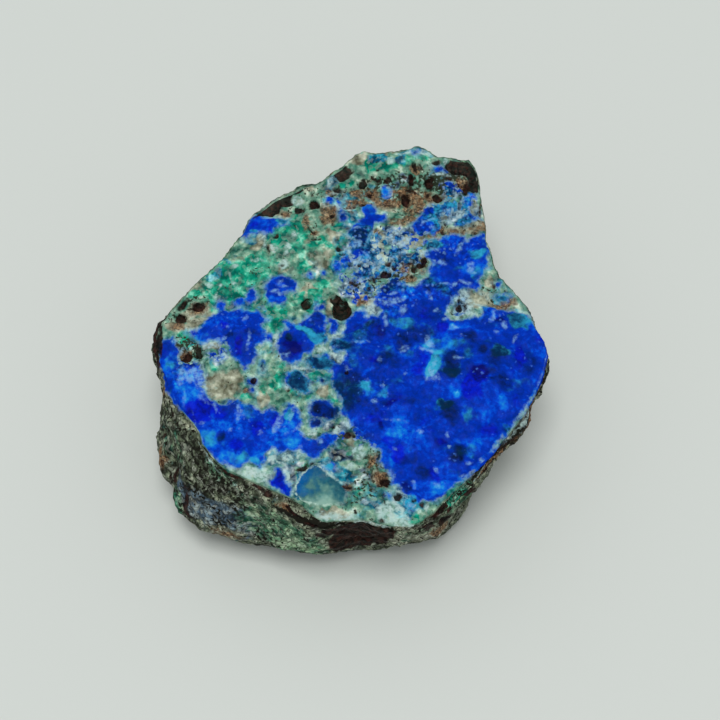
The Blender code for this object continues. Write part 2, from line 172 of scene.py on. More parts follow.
LINARITE_OUTLINES = [
    # the great mass that fills the right of the face
    [(0.4, 1.9), (0.9, 1.1), (1.6, 1.5), (2.2, 1.1), (2.6, 1.9), (2.1, 2.7), (1.9, 3.2), (2, 3.9),
     (2.1, 4.8), (2.5, 5.3), (3, 5.7), (3.7, 6.3), (4.2, 6.6), (5, 6.4), (5.6, 5.7), (6.2, 5.2), (6.9, 5.3),
     (7.2, 5.9), (7.5, 6.4), (8, 6.7), (8.7, 6.8), (9, 8), (8.8, 8.8), (8.4, 9.5), (7.9, 10.1), (7.8, 10.9),
     (8.3, 11.6), (9.2, 11.9), (10.1, 11.9), (10.9, 12.5), (11.6, 12.8), (12.5, 12.8), (13.2, 12.5),
     (13.6, 12), (14, 12.3), (14.6, 12.6), (15.6, 12.5), (15.9, 11.9), (16.1, 11.1), (16.5, 10.2),
     (16.2, 9.4), (15.9, 8.2), (15.5, 7.3), (15, 6.7), (14.7, 5.9), (14.9, 5.2), (14.4, 4.8), (13.7, 4.8),
     (12.9, 4.9), (12.4, 4.5), (11.8, 4.1), (11.4, 3.4), (11.2, 2.7), (10.7, 2.3), (10.5, 1.6), (11, 0.8),
     (11.7, 0.5), (12.6, 0.8), (13.3, 0.9), (14.2, 1.1), (14.8, 1.2), (15.2, 1.9), (15.1, 2.4), (15.7, 2.7),
     (16.7, 2.6), (17.3, 2.3), (18.2, 2.3), (18.9, 2), (19.8, 1.9), (20.7, 1.7), (21.4, 0.5), (22.2, -0.8),
     (23.2, -2.1), (23.4, -3.3), (23.2, -4.9), (22.8, -6.2), (22.3, -7.3), (21.6, -8.3), (20.8, -9.8),
     (19.9, -11.2), (18.9, -12.6), (17.7, -13.9), (16.7, -15.2), (15.8, -16.4), (15, -17.4), (14.1, -18.4),
     (12.8, -19.5), (11.9, -20.2), (11, -20.9), (10.4, -21.6), (9.8, -22.1), (9.1, -22.6), (8.3, -22.6),
     (7.7, -22.7), (6.9, -22.8), (5.9, -22.6), (5.2, -22.2), (4.9, -21.6), (4.4, -21.2), (3.8, -20.7),
     (3.6, -19.9), (3.3, -19.2), (2.9, -18.7), (2.5, -17.9), (2.5, -17), (2.3, -16.4), (1.7, -16),
     (1.2, -15.5), (0.6, -15.1), (-0.4, -14.8), (-0.8, -13.9), (-1.2, -13), (-1.8, -12.3), (-2.2, -11.5),
     (-2.1, -10.4), (-2.4, -9.6), (-2.9, -8.6), (-3.3, -7.3), (-3.5, -6.2), (-3.9, -5.8), (-4.4, -5.4),
     (-5.1, -5.7), (-5.9, -5.4), (-6.4, -4.9), (-6.2, -4.2), (-5.6, -4.2), (-4.9, -3.9), (-4.2, -3.8),
     (-3.8, -4.3), (-3.4, -4.7), (-2.7, -5.1), (-2, -4.7), (-1.7, -4.1), (-2, -3.5), (-2.7, -3.7),
     (-3.2, -3.3), (-3.3, -2.6), (-2.8, -2.2), (-2.3, -1.7), (-2, -1), (-1.9, 0), (-1.9, 0.5), (-1.6, 1.3),
     (-1, 1.7), (-0.2, 2.1)],
    # the column of blue above it
    [(0.4, 16.6), (0.8, 17.2), (1.4, 17.3), (1.9, 16.9), (2, 16.2), (2.4, 15.8), (3, 15.8), (3.3, 15.2),
     (3, 14.5), (2.4, 14.3), (1.8, 14.5), (1.5, 13.9), (1.6, 13), (1.3, 12.2), (1.3, 11.3), (1.6, 10.8),
     (1.8, 9.9), (1.8, 9.1), (1.3, 8.8), (0.5, 8.9), (0, 9.2), (-0.4, 8.8), (-1.1, 8.8), (-1.4, 9.6),
     (-1.3, 10.5), (-1.3, 11.9), (-1.3, 13), (-1.1, 13.8), (-0.6, 14.5), (0, 14.9), (0.5, 15.5)],
    # smaller blues under the column
    [(0.1, 7.8), (0.4, 8.4), (1.3, 8.4), (1.6, 7.7), (1.5, 7), (1, 6.4), (0.2, 6.4), (-0.4, 6.7), (-1, 7),
     (-0.9, 7.5)],
    [(2, 8.2), (2.5, 8.5), (3, 8.2), (3.4, 7.8), (3, 7.3), (2.3, 7.3)],
    [(3.5, 9.4), (3.6, 10.2), (4.1, 10.5), (4.7, 10.9), (5.3, 10.9), (5.7, 10.3), (5, 9.8), (4.4, 9.5),
     (3.9, 9.1)],
    # the top right mass and the strips beside it
    [(8, 16.8), (8.5, 17.1), (9.3, 17.2), (10.2, 17.2), (10.8, 17.5), (11.3, 17.8), (12.1, 17.5),
     (12.3, 16.8), (12.2, 16), (11.4, 15.9), (10.8, 15.9), (10.3, 15.3), (10.1, 14.6), (10.4, 14),
     (10.1, 13.2), (9.6, 12.6), (8.6, 12.5), (7.6, 12.6), (6.8, 13), (6.4, 13.6), (6.6, 14.5), (7.2, 14.9),
     (7.6, 15.6), (7.7, 16.2)],
    [(11.8, 14.6), (12.3, 15), (13.2, 15.5), (14, 15.6), (14.6, 15.2), (15.3, 15.2), (15.5, 14.8),
     (14.4, 14.6), (13.6, 14.5), (12.9, 14.2), (12.1, 14)],
    [(12.9, 17.3), (13.4, 17.8), (14, 17.8), (14.4, 17.1), (14, 15.9), (13.3, 15.8), (13, 16.5)],
    # the upper left patch at the rim
    [(-14.3, 14.8), (-13.8, 15.3), (-12.4, 15.2), (-11.4, 15), (-10.5, 15), (-9.6, 14.8), (-9.2, 14.2),
     (-9.7, 13.8), (-10.5, 13.8), (-10.9, 13.2), (-11.2, 12.8), (-11.9, 12.5), (-12.9, 12.6), (-13.6, 12.3),
     (-14.4, 12.2), (-15.1, 12.3), (-14.9, 13.5)],
    # the round blob left of the middle
    [(-11.2, 5.9), (-10.7, 6.4), (-10.1, 6.7), (-9.4, 6.8), (-8.7, 6.6), (-8.1, 6.4), (-7.9, 5.9),
     (-7.7, 5.2), (-8, 4.6), (-8.6, 4.5), (-9.2, 4.5), (-9.2, 3.9), (-9.4, 3.2), (-10, 2.8), (-10.8, 2.8),
     (-11.3, 3.2), (-11.6, 3.9), (-11.6, 4.8), (-11.5, 5.5)],
    # the left lobe
    [(-21.2, -1), (-20.2, -0.7), (-19.4, -0.4), (-19, 0.5), (-18.8, 1.1), (-18.2, 1.3), (-17.5, 1.9),
     (-16.8, 2.3), (-16.1, 2), (-15.4, 2.4), (-14.5, 2.3), (-13.6, 1.6), (-12.7, 1.7), (-12, 1.2),
     (-11.6, 0.5), (-12.1, -0.3), (-11.9, -0.8), (-11.6, -1.3), (-11, -1.1), (-10.7, -1.7), (-10.9, -2.3),
     (-11.6, -2.1), (-12, -2.2), (-12.4, -2.9), (-12.6, -3.5), (-12.7, -4.3), (-13.2, -4.7), (-13.7, -5.5),
     (-14, -5.8), (-14.5, -5.3), (-15.2, -4.7), (-15.8, -4.2), (-16.1, -3.3), (-16.5, -2.6), (-17.1, -2.6),
     (-17.4, -2.2), (-18.2, -2.1), (-18.9, -2.3), (-19.3, -2.7), (-19.8, -2.1), (-20.4, -1.8),
     (-20.9, -1.4)],
    # the middle lobe
    [(-9.4, 0.4), (-8.9, 0.8), (-8.3, 0.4), (-7.8, 0.1), (-7, 0.6), (-6.4, 1.2), (-5.9, 1.3), (-5.2, 2),
     (-4.7, 1.9), (-4.2, 1.3), (-4.2, 0.5), (-4.3, -0.4), (-4.1, -1), (-3.7, -1.9), (-4.2, -2.3),
     (-4.9, -2.3), (-5.4, -2.7), (-5.8, -3.5), (-6.1, -3.7), (-6.7, -3.8), (-6.9, -4.3), (-7.1, -4.9),
     (-7.7, -5.1), (-8.4, -5.1), (-8.9, -4.6), (-9.5, -4.5), (-9.9, -3.8), (-10.1, -3), (-9.7, -2.3),
     (-9.7, -1.5), (-9.5, -0.8), (-8.9, -0.6), (-9, 0)],
    # small blobs beside the lobes
    [(-3.8, 1.1), (-3, 0.9), (-2.6, 0.2), (-2.6, -0.7), (-3.2, -1.1), (-3.8, -1), (-3.9, -0.2)],
    [(-18.5, -3.7), (-17.9, -3.4), (-17.5, -3.8), (-16.9, -3.1), (-16.4, -3.5), (-16.6, -4.3),
     (-17.4, -4.7), (-18.1, -4.6)],
    [(-14.3, 3.9), (-13.8, 4.8), (-13.3, 4.9), (-12.8, 4.5), (-12.9, 3.7), (-13.4, 3.1), (-14, 3),
     (-14.4, 3.4)],
    # the band round the left rim and along the lower left
    [(-25, -3.3), (-24.6, -2.5), (-24.2, -2.1), (-23.6, -1.8), (-23, -1.7), (-22.6, -2.2), (-22.7, -2.9),
     (-22.3, -3.5), (-22.2, -4.2), (-21.8, -4.7), (-21, -4.9), (-20.4, -4.9), (-19.8, -5.4), (-19.4, -6.1),
     (-19.1, -7), (-19, -8.1), (-18.7, -9), (-18.3, -9.6), (-17.7, -10), (-16.9, -10.4), (-16.2, -10.4),
     (-15.7, -9.9), (-15.1, -9.9), (-14.5, -10.2), (-13.9, -10.6), (-13.3, -10.4), (-12.6, -10.6),
     (-12, -11.3), (-11.4, -11.1), (-10.9, -10.8), (-10.3, -10.9), (-9.7, -11.5), (-9.1, -11.3),
     (-8.7, -10.6), (-8.2, -10.2), (-8, -10.7), (-7.6, -11.3), (-7.4, -12), (-7, -12.5), (-6.9, -13),
     (-7.2, -13.4), (-6.9, -13.8), (-6.5, -14.6), (-6, -14.8), (-5.4, -15.1), (-4.6, -14.7), (-3.8, -14.2),
     (-3.2, -14.3), (-2.4, -14.6), (-1.8, -14.1), (-1.9, -14.8), (-2.6, -15.2), (-3.2, -15.6),
     (-3.8, -15.9), (-4.5, -16.4), (-5, -17), (-5.6, -17.3), (-6.2, -16.6), (-6.8, -16.5), (-7.2, -16),
     (-7.8, -16.4), (-8.4, -16.1), (-9.1, -16.6), (-9.7, -16.5), (-10.2, -16), (-10.8, -16), (-11.2, -16.6),
     (-11.2, -17.5), (-11.6, -18), (-11.9, -18.5), (-12.5, -18.2), (-13.1, -17.8), (-14, -18.2),
     (-14.7, -18.5), (-15.3, -18.4), (-16, -18.4), (-16.6, -18), (-17.3, -17.5), (-18, -17), (-18.7, -16.4),
     (-19.2, -15.5), (-19.6, -14.2), (-20, -13.7), (-20.6, -12.9), (-21.5, -12), (-22, -11.3),
     (-22.6, -10.6), (-23.4, -9.4), (-23.9, -8.1), (-24.5, -6.6), (-24.8, -5.3)],
    # the indigo wedge by the front rim
    [(-10.3, -18.4), (-9.8, -18.3), (-9.3, -18.5), (-9.2, -19.3), (-8.8, -19.9), (-8.5, -20.7),
     (-8.2, -21.4), (-8.1, -21.9), (-8.8, -22.2), (-9.4, -21.8), (-9.8, -21.3), (-10.7, -20.7),
     (-10.9, -20.2), (-10.2, -19.5)],
    # dark teal islands in the pale rock
    [(-8.7, -6.7), (-8.4, -6.1), (-7.4, -6.1), (-6.7, -6.3), (-6.3, -7), (-6.3, -8.1), (-6, -8.5),
     (-6.2, -8.9), (-6.9, -9), (-7.4, -8.9), (-7.7, -8.1), (-8.4, -7.8)],
    [(-6.1, -10.3), (-5.4, -10.2), (-4.6, -9.8), (-4, -9.9), (-3.6, -10.8), (-2.4, -10.7), (-2.2, -11.3),
     (-2.7, -12), (-3.4, -12.4), (-4.1, -12.4), (-4.7, -11.9), (-5.4, -11.3), (-6, -11.1)],
    [(-5.9, -13), (-5.5, -12.5), (-4.9, -12.5), (-4.6, -13), (-4.9, -13.5), (-5.7, -13.5)],
]
LINARITE_SPOTS = [
    (-4.7, -7.4, 0.51, 0.43), (-13.1, -7.4, 0.51, 0.6), (-13.1, -8.6, 0.28, 0.43), (3.4, 19.1, 0.6, 0.7),
    (10.3, 22.2, 1, 0.5, -15), (7, 24.5, 0.6, 0.43), (11.5, 19.2, 0.8, 1.3), (14.4, 18.2, 0.51, 0.7),
    (-2.3, 15.3, 0.51, 0.9), (-3.7, 17.8, 0.51, 0.57), (-2.7, 17.5, 0.26, 0.43), (4.8, 12.3, 0.38, 0.57),
    (5.4, 12.9, 0.38, 0.28), (6.9, 9.5, 0.9, 0.43, -10), (-1.9, 8.7, 0.51, 1), (-2.8, 8, 0.38, 0.9),
    (-6.5, 6.8, 0.38, 0.35, -30), (-4.6, 7.3, 0.26, 0.28), (-1, 4.6, 0.6, 0.43), (-2, 6.6, 0.38, 0.35),
    (-1.2, 0.8, 0.51, 0.7), (-5, 2.4, 0.38, 0.57), (4.3, 8.4, 0.6, 0.43), (1, 5.6, 0.38, 0.28),
    (-0.5, 3.4, 0.38, 0.28), (5.3, 2.8, 0.26, 0.28), (17.7, 4.2, 0.9, 0.57), (17.1, 5.7, 0.38, 0.43),
    (16, 1.7, 0.9), (19.2, -1.5, 0.26, 0.43), (-12, -5.3, 0.38, 0.57), (-3.6, -18.7, 0.8, 0.57, 25),
    (5.9, -23.3, 0.9), (3.3, -22.2, 0.38, 0.43), (-17.1, 2.7, 0.51, 0.57), (-14.9, 3.1, 0.6, 0.57),
    (-8.3, -2.6, 1.8, 2.3), (-5.4, -1.4, 1.5, 1), (-2.5, -2.7, 0.9, 1.1), (-5.1, -4.9, 1.5, 0.9, -5),
    (-7.7, -7.3, 1.3, 1.3, -20), (-7, -8.3, 0.8, 0.57), (-4.5, -11.1, 1.7, 1.4, -10),
    (-5.3, -12.9, 0.8, 0.7), (-8.6, -11.1, 0.6, 0.7),
]

# How the blue is tinted, from dark (-1) through royal blue (0) to pale azure (1), and then its cast, from
# teal (-1) to indigo (1), where it has one.
BLUE_TINTS = [
    (9.1, 11.3, 1, 0.57, 0.15, -1), (12, 12, 0.9, 0.57, 0.5), (15, 10.2, 1.2, 0.57, 0.4, -0.8),
    (13.2, 11.3, 0.38, 0.9, -0.6, -0.3), (14.6, 11.8, 0.8, 0.43, -0.1, 0.8), (10.7, 9.5, 0.8, 0.7, -0.5),
    (12.7, 6.6, 1, 1.1, 0, 1), (14, 8.2, 0.9, 1.1, 0.5), (15.4, 8, 0.51, 0.7, 0.5),
    (8.7, 5.6, 1.2, 1, -0.4, -0.3), (6.7, 4.3, 0.8, 1.1, 0.35), (8, 1.5, 1, 1.1, -0.2, 0.7),
    (12.2, 5.2, 0.8, 0.57, -0.2, 0.8), (12.7, -0.3, 1.2, 0.57, 0.5), (11.5, -0.4, 0.51, 0.35, 0.6),
    (10.1, -0.6, 0.8, 1.1, 0.05, 1), (10.6, -2.2, 0.6, 1.3, 0.3), (13.5, -1.9, 0.8, 0.57, -0.8),
    (7.4, -1.4, 1.3, 0.9, -0.6), (5.5, -2.3, 0.8, 1.1, -0.85, 0.2), (5.3, 0.1, 1.4, 0.7, 0.2, -0.6),
    (1.4, 0.1, 0.8, 0.57, -0.5, -0.5), (2.3, -1, 0.8, 0.7, -0.3, 0.8), (3.9, -2.6, 1.5, 1.1, 0.15),
    (3.7, -4.9, 1.4, 0.9, -0.5), (1.5, -4.6, 0.9, 0.7, 0, 0.9), (7.5, -5.3, 1, 1.7, 0.05, 1),
    (6.6, -3.3, 1.2, 0.57, 0.15, -0.3), (11.2, -4.9, 0.9, 1, -1), (11.1, -6.6, 0.9, 0.7, -0.8, -0.8),
    (13.2, -6.1, 0.8, 0.9, -0.6, 0.9), (14.7, -7, 1, 0.9, -0.6, 0.9), (17.4, -7.5, 0.9, 1, -0.7, 0.2),
    (14.7, -3.4, 0.6, 0.57, -0.8, 0.2), (16.9, -3.5, 0.9, 0.7, -0.3, -1), (19.8, 1.1, 1.3, 0.7, -0.1, -1),
    (20.8, -4.9, 0.9, 1, -0.5), (19.3, -4.1, 0.8, 1.7, 0, 1), (21.8, -3.7, 0.8, 0.57, 0.35),
    (21.7, -1.3, 0.6, 1, 0.05, 0.9), (18.5, -7.9, 1, 1.1, 0.1, -0.4), (20, -7.3, 1, 1.4, 0.1),
    (18.8, -9.9, 0.9, 1.1, 0, 0.7), (16.9, -10.2, 0.6, 1.3, 0.35), (15, -11.7, 0.51, 1.4, 0.35),
    (13.5, -8.7, 0.9, 1.7, 0.1, 1.1), (11.7, -8.5, 0.8, 1.1, 0.45), (11.8, -9.5, 0.51, 0.57, 0.5, -0.2),
    (10.5, -10.7, 0.9, 0.43, -0.6, -1), (10.9, -11.7, 1, 1, -0.75, -0.3),
    (12.7, -11.9, 0.51, 1.1, 0.25, -0.5), (5.3, -13, 1.2, 0.7, 0.5), (4.1, -14.2, 1, 0.57, 0.75),
    (6.1, -14.3, 1.5, 1, 0.25, -0.2), (3.2, -15.3, 0.6, 0.9, 0.3, 0.7), (2.6, -13, 0.38, 0.57, -0.5, 0.6),
    (5.9, -10.3, 0.8, 0.7, -0.5, 0.4), (4.4, -9.2, 0.8, 1, -0.1, 0.8), (3.4, -10.3, 0.8, 0.7, -0.4, 0.9),
    (2.1, -9.1, 1.4, 0.9, 0.3), (0.7, -8.2, 0.6, 0.7, 0.5, -0.6), (-0.5, -6.6, 1, 1.1, -0.9, 0.1),
    (9.6, -15.3, 1, 0.7, -0.4, 0.8), (11.8, -17, 0.8, 1.1, -1, -0.2), (13.2, -15.3, 1.5, 0.57, 0.3),
    (13, -16.6, 0.8, 0.9, 0.25, -0.4), (4.5, -16.6, 1, 0.9, 0, 0.9), (6, -17.8, 1, 0.7, -0.6, 0.2),
    (7.4, -19.2, 0.9, 0.9, -0.7, 0.2), (8.9, -19.3, 0.8, 0.9, 0, 1), (10.4, -18.4, 1, 0.9, 0.2),
    (9.3, -21.1, 0.8, 0.9, 0.4), (6.3, -20.8, 0.26, 0.43, 0.5), (7.7, -21.3, 1.5, 0.9, 0.15),
    (9, -22.3, 1, 0.43, -0.4), (6.2, -16.5, 0.51, 1, 0.25, -0.3), (5.3, -21.1, 0.6, 0.7, -0.9, 0.6),
    (3.7, -17.3, 0.38, 0.9, 0.5), (19.1, -12.3, 0.9, 0.7, -0.5, -0.1), (17.9, -13.8, 0.9, 0.57, -0.6, -0.8),
    (16.3, 1.7, 0.6, 0.7, 0.5), (17.3, 0.9, 0.6, 0.43, -0.5, 0.8), (15.4, -0.3, 1, 0.9, -0.4),
    (21.1, 0.4, 0.6, 1.1, 0.1, -0.3), (8.6, -2.6, 0.51, 0.9, 0.9), (9.6, -3.9, 0.51, 0.43, 0.7, -0.2),
    (8.8, -5.3, 0.6, 0.9, 0.2, -1.4), (8.8, -6.3, 0.8, 0.9, 0.75, -1), (-1, -0.3, 0.6, 0.43, 0, 0.8),
    (0.9, -6.1, 0.6, 0.43, 0.5), (0.1, -2.2, 0.8, 0.28, 0.4), (1.8, -3.7, 0.51, 0.43, 0.3),
    (-2.4, -7, 0.8, 1.7, -0.5, -0.3), (-1, -9.9, 0.9, 1.7, -0.45, -0.1), (-2, -2.6, 1, 0.9, -0.3),
    (-0.1, -3.3, 1, 0.9, -0.1, 0.2), (-5.1, -4.7, 1, 0.57, -0.35), (0.2, -12.5, 1, 1.1, 0.1, 0.4),
    (1.9, -11.5, 1, 0.9, -0.1, 0.6), (15.4, -6.2, 1.2, 0.43, -0.4, 0.4), (16.3, -4.6, 1.3, 0.9, -0.4, 0.2),
    (18.2, -15.1, 0.51, 0.57, -0.3), (15.6, -13.8, 1, 1.1, -0.05, 0.5), (14.4, -15.1, 0.8, 0.7, 0.1, 0.2),
    (8.4, -13.2, 1.3, 1.4, -0.1, 0.5), (3.1, 3.5, 0.8, 1.1, 0.1, 0.3), (3.1, 4.9, 0.51, 0.57, -0.6, 0.7),
    (4.6, 5.7, 0.8, 0.43, -0.2, 0.1), (5.6, 4.1, 0.38, 0.57, 0.5, -0.3), (4.2, 1.5, 0.6, 0.43, 0.5),
    (-15.7, -2.6, 0.6, 0.9, 0.4), (-19.4, -1.7, 1.2, 0.57, 0.35, -0.5), (-14.7, -2.9, 0.6, 1.4, 0, 1),
    (-13.5, -1, 0.6, 0.43, -0.5), (-16.1, -1, 0.38, 0.43, -0.6, -0.2), (-17, 0, 0.51, 0.57, 0, 0.8),
    (-18, 0.1, 1, 1, 0.1), (-12.7, 0.5, 0.8, 0.9, -0.1, 0.2), (-7, -0.4, 0.8, 0.43, 0.5, -1.2, -30),
    (-6.2, -1.3, 0.51, 0.35, 0.4, -1, -30), (-8.4, -1.8, 0.51, 0.57, -0.8, -1),
    (-7.5, -3.3, 0.51, 0.57, -0.4, 0.8), (-5.5, -1.8, 0.9, 0.57, 0.3, -0.6), (-5.2, 0.5, 0.6, 1, -0.3),
    (-8.3, -3.3, 1, 1.1, -0.3, 0.4), (-3.1, 0.1, 0.51, 0.9, -0.2), (-8.9, 6, 0.8, 0.7, -0.6),
    (-10.7, 4.6, 0.8, 1.1, 0, 0.2), (-10.6, 3.5, 0.8, 0.43, 0.6, -0.1), (-9.8, 5.7, 0.38, 0.28, 0.5),
    (-13.5, 13.9, 0.6, 0.7, 0.05, 0.7), (-12.3, 14.2, 0.51, 0.57, 0.35), (-11.6, 13, 0.38, 0.43, -0.1, 0.9),
    (-10, 14.3, 0.8, 0.43, 0, -1), (-14, 12.5, 0.8, 0.35, 0.3, -0.7), (1.1, 14.8, 0.6, 0.7, -0.1, 0.9),
    (2.2, 15.2, 0.8, 0.43, 0.05, 0.3), (1, 16.5, 0.51, 0.57, 0.3), (0.9, 12.6, 0.51, 1.3, 0.2, -0.5),
    (-0.3, 12.2, 0.6, 1.1, -0.6), (-0.5, 9.5, 0.6, 0.57, 0.05, 0.6), (0.9, 9.6, 0.6, 0.57, 0.5),
    (-0.5, 11.1, 0.6, 0.57, 0.3), (0.9, 7.3, 0.6, 0.57, -0.2), (2.5, 8, 0.51, 0.43, 0.3, -0.2),
    (4.1, 10.1, 0.6, 0.57, 0.1), (8.5, 16.5, 0.6, 0.57, -0.2, 0.8), (9.8, 16.5, 0.8, 0.57, 0.3),
    (11.5, 17.2, 0.6, 0.57, 0.5, -0.3), (8.7, 14.8, 0.9, 0.57, 0.6), (8.1, 13.5, 0.8, 0.57, 0.05, 0.4),
    (9.6, 14, 0.6, 0.7, 0.2, -0.3), (12.9, 14.9, 0.9, 0.43, 0.05, 0.1), (13.6, 16.8, 0.6, 1, 0.5, -0.4),
    (14.4, 18.2, 0.51, 0.7, 0.4), (3.4, 19.1, 0.6, 0.57, 0.45, -0.1), (10.3, 22.2, 1, 0.43, -0.5, -0.1),
    (11.5, 19.4, 1, 1.3, -0.2, 0.1), (7, 24.5, 0.6, 0.43, -0.1, -0.6), (-23.7, -4.9, 0.51, 1.1, 0.05, 0.4),
    (-23.1, -5.9, 0.8, 1.1, 0.35, -0.1), (-24, -3, 0.51, 1.1, -0.3, 0.4),
    (-23.2, -2.6, 0.6, 0.9, -0.1, -0.4), (-22.8, -4.6, 0.51, 1.1, 0.2, -0.5), (-21.5, -7.3, 0.9, 1.3, 0.6),
    (-20.6, -6.6, 1, 1.1, 0.45, 0.2), (-21, -8.9, 1.3, 0.9, 0.3), (-21.4, -9.9, 0.38, 0.9, 0.3, -0.1),
    (-19.7, -9, 0.8, 0.9, 0.35), (-20.9, -5.3, 0.6, 0.43, -0.4, 0.5), (-19.9, -11.2, 1.5, 0.9, -0.2, 1.3),
    (-18.6, -10.6, 1, 0.7, -0.1, 1), (-19.4, -12.3, 1, 0.7, 0.05, 0.9), (-20.3, -10.4, 0.8, 0.43, 0.3),
    (-17.6, -12.3, 1, 0.7, 0.4), (-16.6, -13.4, 0.9, 0.9, 0.4, -0.1), (-18.3, -14.4, 1, 0.7, 0.3, -0.4),
    (-16.7, -14.6, 0.38, 0.57, -0.9, -0.4), (-17.7, -15.6, 1, 0.7, 0.35, -0.3),
    (-14.9, -15.7, 0.8, 0.7, 0.05, 0.9), (-15.5, -10.9, 0.8, 1, -0.1), (-14.7, -11.6, 0.6, 1, 0.3),
    (-13.3, -11.5, 0.8, 0.9, 0.3, -0.4), (-12.3, -13, 1, 0.9, 0.05, 0.8),
    (-12.4, -14.6, 0.8, 0.9, 0.2, 0.4), (-13.7, -17, 1.3, 0.7, 0.1, -0.1),
    (-15.5, -17.4, 1.2, 0.7, 0.4, -0.2), (-11.7, -16, 0.8, 0.9, 0.2, 0.1),
    (-12.9, -16.4, 0.8, 0.57, 0, 0.5), (-12.2, -17.6, 0.51, 0.57, 0.7, -0.3),
    (-10.3, -11.9, 0.51, 0.9, -0.1, 0.8), (-8.9, -13.3, 0.9, 0.9, 0.3), (-8, -15.1, 0.8, 0.7, 0.4),
    (-8.7, -11.6, 0.51, 0.7, 0.3, -1), (-6.6, -15.9, 0.9, 0.57, -0.1, 0.3), (-5, -16, 0.9, 0.7, -0.3),
    (-10.6, -14.7, 0.8, 0.9, 0.25, 0.1), (-9.6, -15.7, 0.6, 0.43, -0.1, 0.2),
    (-7.3, -12.8, 0.51, 0.7, 0, -0.4), (-11.9, -9.9, 0.38, 0.43, 0.2),
    (-13.5, -10.6, 0.6, 0.43, -0.6, -0.2), (-9.7, -20.2, 0.8, 1.3, 0, 1.2),
    (-10.4, -20.7, 0.51, 0.43, 0.2, 0.5), (-7.4, -7.5, 1, 1.1, -0.55, -0.6),
    (-3.7, -11.3, 1, 0.9, -0.2, 0.7), (-5.4, -10.7, 0.6, 0.57, -0.9), (-2.7, -11.6, 0.6, 0.7, -0.4, -0.4),
    (-4.7, -7.4, 0.6, 0.57, -0.9, 0.1), (-13.1, -7.5, 0.6, 1, -0.8, 0.1), (-5.3, -13, 0.8, 0.7, -0.7, -0.3),
    (-12, -5.3, 0.51, 0.57, -0.9, -1), (-3.6, -18.8, 0.6, 0.57, 0.6, -0.6), (5.7, -23.1, 1, 1, 0.5, -0.7),
    (17.7, 4.2, 0.9, 0.57, -0.4, -1), (-2.3, 15.3, 0.51, 0.9, -0.5), (4.8, 12.3, 0.51, 0.57, -0.4),
    (-16.6, -14.8, 3.3, 2.3, 0.15), (-9, -14.2, 2.6, 1.4, 0.25, -0.1), (-15.5, -17.9, 2.8, 1, 0.1, -0.2),
    (-17.9, -11.5, 1.8, 1, -0.1, 0.7), (-7.2, -16.4, 1.8, 1.1, 0.15), (4.8, -15.1, 3.2, 3.5, 0.08, 0.1),
    (-6.9, -7.7, 1.8, 1.6, -0.4, -0.6), (-4.2, -11.2, 1.8, 1.4, -0.6, -0.2),
    (0, -2.6, 3.1, 2.3, -0.1, -0.35), (13.5, -4.6, 4.4, 2, 0, -0.3), (13.1, 4.9, 3.8, 4, -0.15, -0.35),
    (10.2, 15.9, 3.8, 2.6, -0.15, -0.5), (0.6, 11.9, 2.3, 4, -0.15, -0.4), (5, 7.7, 3.8, 2.8, -0.15, -0.3),
    (-5.1, -4.9, 1.5, 1, -0.3, -0.9), (-7.7, -7.3, 1.4, 1.3, 0.3, -0.2), (-5.4, -1.4, 1.5, 1, 0, -0.6),
    (-2.5, -2.7, 1, 1.1, -0.1, -0.4), (-8.6, -3.3, 1.5, 1.7, -0.3, 0.4), (-1.6, -9.2, 1.3, 2.3, -0.1, -0.4),
    (8, -2.6, 3.8, 2.8, 0, -0.3), (7.1, -18.9, 3.8, 2.8, 0.15), (15.8, -7.9, 2, 2.8, 0.15, 0.2),
    (2.4, -7.9, 2.6, 2.8, -0.1, -0.3), (11.6, -4.9, 3.8, 1.7, 0.25), (-15.3, -2.6, 2.6, 2, -0.2, 0.2),
    (14.6, -5.7, 3.3, 3.1, -0.3), (6.6, -18.3, 3.8, 1.4, -0.2), (9.3, 1.5, 1.3, 1.4, -0.2),
    (-14.7, -2.6, 2.6, 1.7, -0.15),
]

